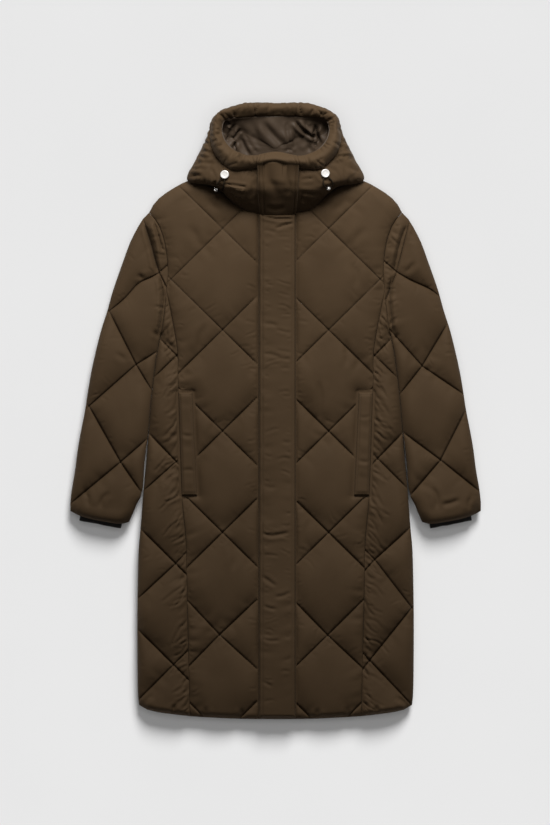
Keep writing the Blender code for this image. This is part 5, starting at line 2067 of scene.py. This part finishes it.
@dataclass
class Hood:
    """The hood: padded walls, the roll round the face opening, the back, the collar lap and the lining."""

    form: HoodForm
    fine: int = 26
    wall_rows: int = 60
    rim_rows: int = 34
    wall_swell: float = 2.4
    rim_swell: float = 2.4
    rim_crown: float = 5.5
    rim_pinch: float = 0.17
    lap: tuple[float, float] = (-37.0, 46.5)
    lap_thick: float = 6.0
    lap_gap: float = 0.3
    lap_edge: float = 0.6
    lap_swell: float = 0.7
    lap_start: float = 0.75
    lap_lift: float = 2.5
    lap_fill: float = 4.5
    lap_rows: tuple[float, ...] = (3.2, 11.4, -6.0)
    back_thick: float = 9.6
    lining_thick: float = 1.6
    lining_drop: float = 1.4
    lining_swell: float = 1.4
    lining_columns: int = 288
    lining_sharp: float = 70.0
    lining_cut: tuple[float, float] = (0.34, 0.30)
    lining_share: float = 0.78
    hollow_middle: tuple[float, float, float] = (0.0, 525.0, 40.0)
    back_outline: Rows = ((104, 481), (132, 494), (126, 515), (115, 545), (99, 583), (56, 597), (0, 598))
    wall_puckers: Puckers = Puckers(depth=1.3, pitch=15.0, reach=8.0)
    rim_puckers: Puckers = Puckers(depth=0.7, pitch=23.0, reach=8.0)
    rim_creases: Creases = Creases(16.0, 8.0, 24.0, depth=1.8, width=2.2, slant=(-1.0, 1.0))
    wall_creases: Creases = Creases(9.0, 9.0, 40.0, depth=1.9, width=2.6, slant=(-0.9, 0.9))
    wall_folds: tuple[Fold, ...] = set_folds(
        (2.8, 2.8, 0.6, 1, -147, 520, -138, 517, -126, 512),
        (1.8, 4, 0.6, 0, -148, 512, -142, 504, -140, 495), (1.8, 3, 0.5, 1, -157, 496, -136, 494, -116, 494),
        (2.2, 3, 0.6, 1, -164, 476, -157, 481, -148, 484),
        (4.2, 3.4, 0.6, 1, -171, 466, -158, 471, -145, 467),
        (2.8, 2.4, 0.7, 1, -106, 452, -82, 449.5, -56, 446), (2.2, 2.4, 0.8, 1, -96, 446, -80, 440, -60, 437),
        (2.6, 3, 0.7, 1, -96, 438, -76, 426, -50, 418), (2.2, 4.5, 0.5, 0, -42, 460, -46, 440, -53, 422),
        (1.8, 3, 0.6, 1, -66, 413, -52, 410, -40, 407), (3.2, 2.6, 0.6, 1, 108, 501, 126, 507, 149, 510),
        (1.8, 4, 0.6, 0, 142, 488, 156, 481, 169, 477), (1.8, 3, 0.5, 1, 48, 460, 60, 462, 78, 463),
        (2.6, 2.8, 0.7, 1, 48, 437, 66, 436, 92, 432), (2.2, 4, 0.6, 0, 50, 425, 70, 419, 92, 424),
        (1.8, 3, 0.6, 1, 50, 408, 66, 412, 84, 413), (1.8, 4, 0.5, 0, 90, 446, 104, 447, 124, 453),
    )
    rim_folds: tuple[Fold, ...] = set_folds(
        (6, 2.4, 0, 1, -32, 615, -36, 605, -43, 594), (3.1, 3.5, 0.5, 0, -9, 612, -13, 604, -17, 597),
        (4.6, 2.6, 0.15, 1, -83, 600, -83, 592, -82, 583), (5, 3.4, 0.6, 1, -116, 592, -108, 588, -100, 579),
        (3.2, 3, 0.5, 1, -106, 596, -98, 590, -90, 583), (7, 2.3, 0, 1, 46, 616, 49, 604, 53, 590),
        (4.6, 2.6, 0.1, 1, 80, 608, 85, 599, 96, 588), (3.9, 2.8, 0.6, 1, 76, 605, 73, 598, 70, 591),
        (3.6, 3.4, 0.6, 1, 107, 597, 100, 592, 93, 588), (2.4, 3.4, 0.6, 1, 104, 583, 114, 579, 114, 569),
        (3.9, 3, 0.7, 1, -66, 512, -70, 504, -74, 495), (3.4, 3.4, 0.6, 1, -117, 526, -110, 528, -103, 530),
        (2.3, 4, 0.6, 0, -124, 548, -116, 550, -108, 552), (2.3, 4, 0.6, 0, -92, 500, -88, 508, -86, 516),
        (2.2, 3, 0.7, 1, 111, 536, 119, 533, 128, 529), (2, 3.4, 0.6, 1, 82, 493, 89, 500, 97, 505),
        (2.9, 3.6, 0.6, 0, 60, 505, 64, 497, 66, 488), (2.6, 4, 0.5, 0, 120, 566, 127, 560, 130, 552),
    )
    lap_folds: tuple[Fold, ...] = set_folds(
        (3, 2.6, 0.5, 1, -32, 486, -26, 490, -14, 495, 0, 496, 16, 492, 26, 488),
        (1.6, 3, 0.5, 1, -14, 486, 4, 481, 24, 474), (4, 8, 0.6, 0, -24, 478, -14, 462, 6, 432),
        (1.2, 4, 0.5, 0, 14, 446, 24, 440, 36, 442), (1.4, 4, 0.5, 0, -20, 412, 0, 408, 22, 411),
        (1.4, 4, 0.5, 0, 20, 470, 26, 455, 28, 436),
    )
    lining_folds: tuple[Fold, ...] = set_folds(
        (5, 3, 0.6, 1, -103, 577, -95, 576, -86, 573), (9, 6, 0.2, 0, -104, 574, -104, 557, -100, 540),
        (7.5, 4.2, 0.8, 1, -79, 576, -90, 559, -96, 541, -97, 530),
        (6.5, 3.6, 0.8, 1, -69, 567, -78, 556, -90, 540), (5, 3.6, 0.7, 1, -79, 544, -82, 533, -85, 521),
        (4, 5.5, 0.7, 0, -72, 553, -64, 532, -55, 515, -48, 508),
        (1.8, 3.2, 0.9, 1, -60, 554, -50, 533, -36, 514),
        (3.4, 6, 0.9, 0, -28, 580, -13, 560, 3, 543, 18, 528), (1.6, 6, 0.8, 0, -46, 578, -40, 558, -38, 538),
        (2, 3.2, 0.9, 1, 24, 580, 23, 560, 26, 541, 28, 524), (2, 4.5, 0.9, 0, 40, 563, 37, 541, 38, 522),
        (7.5, 3.4, 0.8, 1, 40, 581, 48, 568, 62, 556, 80, 545), (5, 3, 0.7, 1, 55, 566, 65, 560, 77, 558),
        (4, 3, 0.7, 1, 58, 579, 62, 569, 72, 567), (8.5, 4.6, 0.8, 1, 79, 575, 82, 557, 86, 543, 88, 530),
        (6, 3.6, 0.7, 1, 74, 567, 76, 541, 84, 525), (8, 6, 0.3, 0, 97, 577, 101, 562, 98, 547),
        (3.5, 6, 0.6, 0, 69, 536, 67, 526, 65, 516), (3, 3, 0.5, 1, 28, 527, 24, 522, 18, 516),
        (3, 3, 0.5, 1, 29, 527, 30, 521, 31, 515),
    )

    def stations(self, first: float, last: float) -> Array:
        """Evenly and finely spaced stations, ends included."""
        return np.linspace(first, last, max(3, round((last - first) * self.fine) + 1))

    def dressed(self, points: Array, normals: Array, folds: Sequence[Fold], extra: Array) -> Array:
        """Points moved along their normals by given folds and by more heights.

        Args:
            points: a grid of places on the cloth.
            normals: the cloth's outward directions there.
            folds: the folds to press in.
            extra: further heights at each point.

        Returns:
            The moved points.
        """
        flat = points[..., :2].reshape(-1, 2)
        rise = extra.reshape(-1).copy()
        for fold in folds:
            rise += fold.rise(flat)
        return points + normals * rise.reshape(points.shape[:-1])[..., None]

    def wall(self, name: str, first: float, last: float, node: str) -> Piece:
        """A padded wall between two stations.

        Args:
            name: the piece's name.
            first: its first station.
            last: its last station.
            node: the solid that it stands for.

        Returns:
            The new piece.
        """
        stations, heights = self.stations(first, last), np.linspace(0, 2, self.wall_rows)
        outer, normals = self.form.wall_points(stations, heights), self.form.normals(stations, heights)
        inner = outer - normals * self.form.wall
        along, up = run_lengths(outer[:, -1])[:, None], run_lengths(outer.mean(axis=0))[None, :]
        from_valley = up[:, -1:] - up
        from_end = np.minimum(along - along[0], along[-1] - along)
        rise = self.wall_puckers.rise(from_valley, along, 301)
        rise += 0.7 * self.wall_puckers.rise(up, along, 311)
        rise += self.wall_swell * Waver(17).over(along / 34 + 9, up / 30 + 9) * ease(from_end / 60)
        rise -= 5.0 * (1 - roll(from_valley, 6.0)) + 2.2 * (1 - roll(from_end, 10.0))
        held = np.minimum(roll(from_end, 6.0), roll(from_valley, 3.0) + 0.3)
        folds = [*self.wall_folds, *self.seam_creases(first, last, 3, -1, self.wall_creases)]
        folds += self.seam_creases(first, last, 1, 1, self.wall_creases)
        outer = self.dressed(outer, normals, folds, rise * (0.35 + 0.65 * held))
        return self.loft(name, [np.concatenate([o, i[::-4]]) for o, i in zip(outer, inner)], node)

    def seam_creases(self, first: float, last: float, ring: int, hand: int, creases: Creases) -> list[Fold]:
        """Fine creases off one of the form's rings, inwards (1) or outwards (-1), between two stations."""
        line = self.form.at(np.linspace(first, last, 60))[:, ring, :2]
        return creases.beside(line, hand, int(100 + 10 * ring + 7 * (first > 0) + hand))

    def loft(self, name: str, sections: Sequence[Array], node: str) -> Piece:
        """A padded closed piece through closed sections, with a cap at both ends.

        Args:
            name: the piece's name.
            sections: rings of points, as many in each.
            node: the solid that it stands for.

        Returns:
            The new piece.
        """
        points, columns = np.concatenate(sections), len(sections[0])
        faces = grid_faces(len(sections), columns, closed=True)
        faces += [tuple(range(columns - 1, -1, -1)), tuple(range(len(points) - columns, len(points)))]
        return padded([make_piece(name, points, outward_faces(points, faces), SHELL, node)], 0.5)[0]

    def rim_arcs(self, stations: Array, lift: float, folds: Sequence[Fold]) -> tuple[Array, Array]:
        """The roll's outer face at each station, and the point under its valley.

        Args:
            stations: places round the hood.
            lift: how far its crest is raised.
            folds: the folds to press in.

        Returns:
            The face's points from the valley over the crest to the lip, and the inner points.
        """
        ends = self.form.wall_points(stations, np.array([1.75, 2.0]))
        up = ends[:, 1] - ends[:, 0]
        up = up / np.linalg.norm(up, axis=1)[:, None] * self.form.rim_gap
        normals = self.form.normals(stations, np.array([1.999]))[:, 0]
        rings = self.form.at(stations)
        rows = np.stack([rings[:, 3] + up, rings[:, 4] + [0, 0, lift], rings[:, 5]])
        places = np.linspace(0, 2, self.rim_rows)
        arcs = np.moveaxis(curve_point(rows, places), 0, 1)
        inner = ends[:, 1] - normals * self.form.wall + up
        middle = 0.5 * (rings[:, 3] + rings[:, 5]) - [0, 0, 6.0]
        away = arcs - middle[:, None]
        away = away / np.linalg.norm(away, axis=2)[..., None]
        along, places = run_lengths(rings[:, 4])[:, None], places[None, :]
        across = np.minimum(places, 2 - places) * 22
        rise = self.rim_puckers.rise(across + 1.5, along, 401)
        rise += self.rim_swell * Waver(29).over(along / 40 + 5, 1.2 * places + 5) * ease(across / 12)
        rise = rise * ease((across + 1.0) / 5.0) * roll(np.minimum(along, along[-1] - along), 16.0)
        rise += self.rim_crown * np.sin(np.pi * places / 2) ** 0.6
        return self.dressed(arcs, away, folds, rise), inner

    def rim(self, name: str, first: float, last: float, node: str) -> Piece:
        """The padded roll between two stations.

        Args:
            name: the piece's name.
            first: its first station.
            last: its last station.
            node: the solid that it stands for.

        Returns:
            The new piece.
        """
        folds = [*self.rim_folds, *self.seam_creases(first, last, 3, 1, self.rim_creases)]
        folds += self.seam_creases(first, last, 5, -1, self.rim_creases)
        arcs, inner = self.rim_arcs(self.stations(first, last), 0.0, folds)
        lengths = run_lengths(arcs[:, self.rim_rows // 2])
        pinch = 1 - roll(np.minimum(lengths, lengths[-1] - lengths), 6.0)
        middle = arcs.mean(axis=1, keepdims=True)
        arcs = arcs + (middle - arcs) * (self.rim_pinch * pinch)[:, None, None]
        return self.loft(name, [np.concatenate([a, [i]]) for a, i in zip(arcs, inner)], node)

    def make(self) -> list[Piece]:
        """Build the hood's pieces.

        Returns:
            The pieces.
        """
        form = self.form
        gap, chin = form.station_gap(form.seam_station), form.station_gap(0.5)
        seam, top = form.seam_station - gap, form.seam_station + gap
        past = 2 * form.top - form.seam_station - gap
        right, left = form.station_at_x(self.lap[1]) + chin, -(form.station_at_x(-self.lap[0]) + chin)
        return [
            self.wall("hood_wall_right", chin, seam, "hood_side_right"),
            self.wall("hood_wall_left", -seam, -chin, "hood_side_left"),
            self.wall("hood_wall_top", top, past, "hood_top"),
            self.rim("hood_roll_right", right, seam, "hood_rim_right"),
            self.rim("hood_roll_left", -seam, left, "hood_rim_left"),
            self.rim("hood_roll_top", top, past, "hood_rim_top"),
            self.collar_lap(left + 2 * chin, right - 2 * chin),
            self.back(),
            self.lining(),
        ]

    def collar_lap(self, first: float, last: float) -> Piece:
        """The placket's upper part, which laps over the collar and ends in the rim at the chin.

        Args:
            first: its first station.
            last: its last station.

        Returns:
            The new piece.
        """
        stations, heights = np.linspace(first, last, 73), np.linspace(self.lap_start, 1.75, 60)
        under_heights = np.linspace(self.lap_start, 2.0, 16)
        face, normals = self.form.wall_points(stations, heights), self.form.normals(stations, heights)
        under = self.form.wall_points(stations, under_heights)
        under = under + self.form.normals(stations, under_heights) * self.lap_gap
        arcs, inner = self.rim_arcs(stations, self.lap_lift, self.lap_folds)
        across, down = run_lengths(face[:, 30]), run_lengths(face[36])
        width = across[-1]
        edge = roll(np.minimum(across, width - across), 4.0)[:, None]
        rise = np.zeros_like(across)
        for row in self.lap_rows:
            rise -= 2.4 * np.exp(-(((across - row % width) / 1.3) ** 2))
        swell = self.lap_swell * Waver(53).over(across[:, None] / 24 + 3, down[None, :] / 22 + 3)
        lift = self.lap_edge + (self.lap_thick - self.lap_edge + rise)[:, None] * edge + swell * edge
        lift = lift + self.lap_fill * ease((heights - 1.46) / 0.29)[None, :] * edge
        face = self.dressed(face, normals, self.lap_folds, lift)
        arcs[:, :, 2] += (rise * 0.9)[:, None]
        hidden = 9  # how many of the roll's rows lie under the face's end
        arcs = arcs[:, hidden:]
        sections = [np.concatenate([f, a, [i], u[::-1]]) for f, a, i, u in zip(face, arcs, inner, under)]
        return self.loft("collar_lap", sections, "collar_placket")

    def back(self) -> Piece:
        """The part of the hood that lies on the surface under the lining.

        Returns:
            The new piece.
        """
        right, low = smooth_line(self.back_outline, 3.5), self.back_outline[0]
        bottom = np.column_stack([np.linspace(-low[0], low[0], 53)[1:-1], np.full(51, low[1])])
        outline = np.concatenate([bottom, right, (right * [-1, 1])[:-1][::-1]])
        # How far in from the edge each ring lies, and its height.
        profile = ((0.0, self.back_thick), (-0.6, 7.4), (-0.4, 5.0), (1.0, 2.6), (3.4, 0.8), (6.0, 0.0))
        rings = []
        for distance, z in smooth_line(profile, 1.2):
            ring = inset(outline, self.form.seam_gap + distance)
            rings.append(np.column_stack([ring, np.full(len(ring), z)]))
        points, columns = np.concatenate(rings), len(outline)
        faces = grid_faces(len(rings), columns, closed=True)
        faces += [tuple(range(columns)), tuple(range(len(points) - columns, len(points)))]
        made = make_piece("hood_back_pad", points, outward_faces(points, faces), SHELL, "hood_back")
        return padded([made], 0.4)[0]

    def lining(self) -> Piece:
        """The hood's lining: a thin bowl of satin hung from the rim's inner edge, with soft folds.

        Returns:
            The new piece.
        """
        count, parts = self.lining_columns, 30
        rings = self.form.at(np.linspace(0, 2 * self.form.top, count, endpoint=False))
        rows = np.stack([rings[:, 5] - [0, 0, self.lining_drop], rings[:, 6], rings[:, 7]])
        side = np.moveaxis(curve_point(rows, np.linspace(0, 2, parts)), 0, 1)
        shares = np.linspace(0, 1, parts)[1:-1]
        floor = side[:, -1:] + (np.array(self.hollow_middle) - side[:, -1:]) * shares[None, :, None]
        face = np.concatenate([side, floor], axis=1)
        around = np.roll(face, -1, axis=0) - np.roll(face, 1, axis=0)
        normal = np.cross(around, np.gradient(face, axis=1))
        normal *= np.sign(normal[:, -3:, 2].mean())
        normal /= np.maximum(np.linalg.norm(normal, axis=2), 1e-9)[..., None]
        flat = face[..., :2].reshape(-1, 2)
        swell = self.lining_swell * Waver(77).over(flat[:, 0] / 26 + 20, flat[:, 1] / 26 + 20)
        rise = (sum(fold.rise(flat) for fold in self.lining_folds) + swell).reshape(face.shape[:2])
        face += normal * (rise * ease(np.linspace(0, 1, face.shape[1]) / 0.07)[None, :])[..., None]
        upper, columns = face + normal * self.lining_thick, face.shape[1]
        points = np.concatenate([
            part for sheet in (face, upper)
            for part in (np.swapaxes(sheet, 0, 1).reshape(-1, 3), [sheet[:, -1].mean(axis=0)])
        ])
        layer = columns * count + 1
        faces = []
        for start in (0, layer):
            faces += [tuple(start + i for i in f) for f in grid_faces(columns, count, closed=True)]
            last = start + (columns - 1) * count
            faces += [(last + k, last + (k + 1) % count, start + layer - 1) for k in range(count)]
        faces = outward_faces(points, faces + skirt_faces(range(count), layer))
        made = make_piece("hood_lining_satin", points, faces, LINING, "hood_lining", self.lining_sharp)
        return made


@dataclass
class Sewing:
    """Rows of small stitches, joined into one mesh."""

    pitch: float = 3.4
    length: float = 2.5
    radius: float = 0.24
    sides: int = 4
    # How far along a stitch each ring lies, and how wide it is.
    shape: Rows = ((-0.5, 0.4), (0.0, 1.1), (0.5, 0.4))

    def stitch(self, first: Array, last: Array) -> Array:
        """The points of one stitch between two places.

        Args:
            first: where it comes out.
            last: where it goes in.

        Returns:
            Its rings' points.
        """
        along = (last - first) / np.linalg.norm(last - first)
        across = np.cross(along, [0, 0, 1])
        across /= max(np.linalg.norm(across), 1e-6)
        up = np.cross(across, along)
        middle = (first + last) / 2 + up * self.radius * 0.4
        angles = (np.arange(self.sides) * 2 * math.pi / self.sides)[:, None]
        turned = np.cos(angles) * across + np.sin(angles) * up
        return np.concatenate([
            middle + along * place * self.length + self.radius * size * turned for place, size in self.shape
        ])

    def make(self, name: str, lines: Sequence[Array]) -> Piece:
        """Build the stitches along every line.

        Args:
            name: the piece's name.
            lines: places (x, y, z) that each row of stitches follows.

        Returns:
            The new piece.
        """
        points = []
        for line in lines:
            lengths = run_lengths(line)
            for start in np.arange(0.5, lengths[-1] - self.length, self.pitch):
                ends = (point_at(line, lengths, start + d) for d in (0, self.length))
                points.append(self.stitch(*ends))
        tube, each = tube_faces(len(self.shape), self.sides), len(self.shape) * self.sides
        faces = [tuple(k * each + i for i in face) for k in range(len(points)) for face in tube]
        return make_piece(name, np.concatenate(points), faces, THREAD, None, 180)


@dataclass
class Studio:
    """A plain pale floor and soft studio light, which falls from the hood end.

    The floor and the coat have lights of their own, so that the paper stays even.
    """

    floor_colour: Colour = (0.80, 0.80, 0.80)
    floor_half: float = 6.0
    floor_drop: float = 0.0004
    paper_light: float = 3.7
    paper_light_from: tuple[float, float, float] = (0.3, 1.3, 1.0)
    paper_light_width: float = 24.0
    paper_fill: float = 0.715
    paper_fill_width: float = 60.0
    surround: float = 0.08
    key_place: tuple[float, float, float] = (0.1, 1.9, 1.6)
    key_target: tuple[float, float, float] = (0.0, -0.15, 0.0)
    key_size: tuple[float, float] = (1.4, 0.8)
    key_power: float = 76.0
    fill_place: tuple[float, float, float] = (0.3, 0.2, 2.6)
    fill_size: tuple[float, float] = (2.4, 2.4)
    fill_power: float = 3.0

    def make(self, coat: Sequence[Piece]) -> None:
        """Build the floor and the lights.

        Args:
            coat: the pieces that the coat's own lights fall on.
        """
        paper, shared = self.collection("paper", [self.floor()]), self.collection("coat_pieces", coat)
        middle = (0.0, 0.0, 0.0)
        for name, place, target, size, power in (
            ("softbox_hood_end", self.key_place, self.key_target, self.key_size, self.key_power),
            ("softbox_above", self.fill_place, middle, self.fill_size, self.fill_power),
        ):
            lamp = self.light(
                name, "AREA", place, target, shape="RECTANGLE", size=size[0], size_y=size[1], energy=power,
            )
            lamp.visible_camera = False
            lamp.light_linking.receiver_collection = shared
        for name, place, power, width in (
            ("paper_light", self.paper_light_from, self.paper_light, self.paper_light_width),
            ("paper_fill", (0.0, 0.0, 1.0), self.paper_fill, self.paper_fill_width),
        ):
            lamp = self.light(name, "SUN", place, middle, energy=power, angle=math.radians(width))
            lamp.light_linking.receiver_collection = paper
        world = bpy.data.worlds.new("studio_surround")
        world.use_nodes = True
        background = world.node_tree.nodes["Background"]
        background.inputs["Color"].default_value = (1.0, 1.0, 1.0, 1.0)
        background.inputs["Strength"].default_value = self.surround
        bpy.context.scene.world = world
        bpy.context.scene.view_settings.view_transform = "Standard"

    def light(self, name: str, kind: str, place: Sequence[float], target: Sequence[float],
              **settings: float | str) -> Piece:
        """A light that looks at a target.

        Args:
            name: the light's name.
            kind: SUN or AREA.
            place: where it hangs, in metres.
            target: where it points.
            settings: its strength and width.

        Returns:
            The light.
        """
        data = bpy.data.lights.new(name, kind)
        for key, value in settings.items():
            setattr(data, key, value)
        lamp = bpy.data.objects.new(name, data)
        lamp.location = place
        lamp.rotation_euler = (Vector(place) - Vector(target)).to_track_quat("Z", "Y").to_euler()
        bpy.context.scene.collection.objects.link(lamp)
        return lamp

    def collection(self, name: str, objects: Sequence[Piece]) -> bpy.types.Collection:
        """A collection that only tells a light what it falls on.

        Args:
            name: the collection's name.
            objects: the pieces in it.

        Returns:
            The collection.
        """
        made = bpy.data.collections.new(name)
        for item in objects:
            made.objects.link(item)
        return made

    def floor(self) -> Piece:
        """A sheet of matt paper under the coat.

        Returns:
            The sheet, as stage.
        """
        graph = Graph("floor_paper")
        tone = tuple(0.985 * c for c in self.floor_colour)
        colour = graph.ramp(graph.noise(3, 2), tone, self.floor_colour, 0.3)
        paper = graph.shade({"Base Color": colour, "Roughness": 0.9, "Specular IOR Level": 0.1})
        mesh = bpy.data.meshes.new("studio_floor")
        half, low = self.floor_half, -self.floor_drop
        corners = [(-half, -half, low), (half, -half, low), (half, half, low), (-half, half, low)]
        mesh.from_pydata(corners, [], [(0, 1, 2, 3)])
        mesh.materials.append(paper)
        floor = bpy.data.objects.new("studio_floor", mesh)
        bpy.context.scene.collection.objects.link(floor)
        return floor


def main() -> None:
    """Build the coat piece by piece."""
    logging.basicConfig(level=logging.INFO, format="%(name)s: %(message)s")
    Camera().make()
    body, trims = QuiltedBody(), Trims()
    pieces = []
    for build in (
        CordFittings(body.hood).make, Hood(body.hood).make, body.make_back, body.make_fronts,
        body.make_sleeves, trims.make, body.cuffs.make,
    ):
        pieces += build()
    pieces.append(Sewing().make("quilting_stitches", body.stitches))
    pieces.append(Sewing().make("trim_stitches", trims.stitch_lines()))
    Studio().make(pieces)
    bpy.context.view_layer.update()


if __name__ == "__main__":
    main()
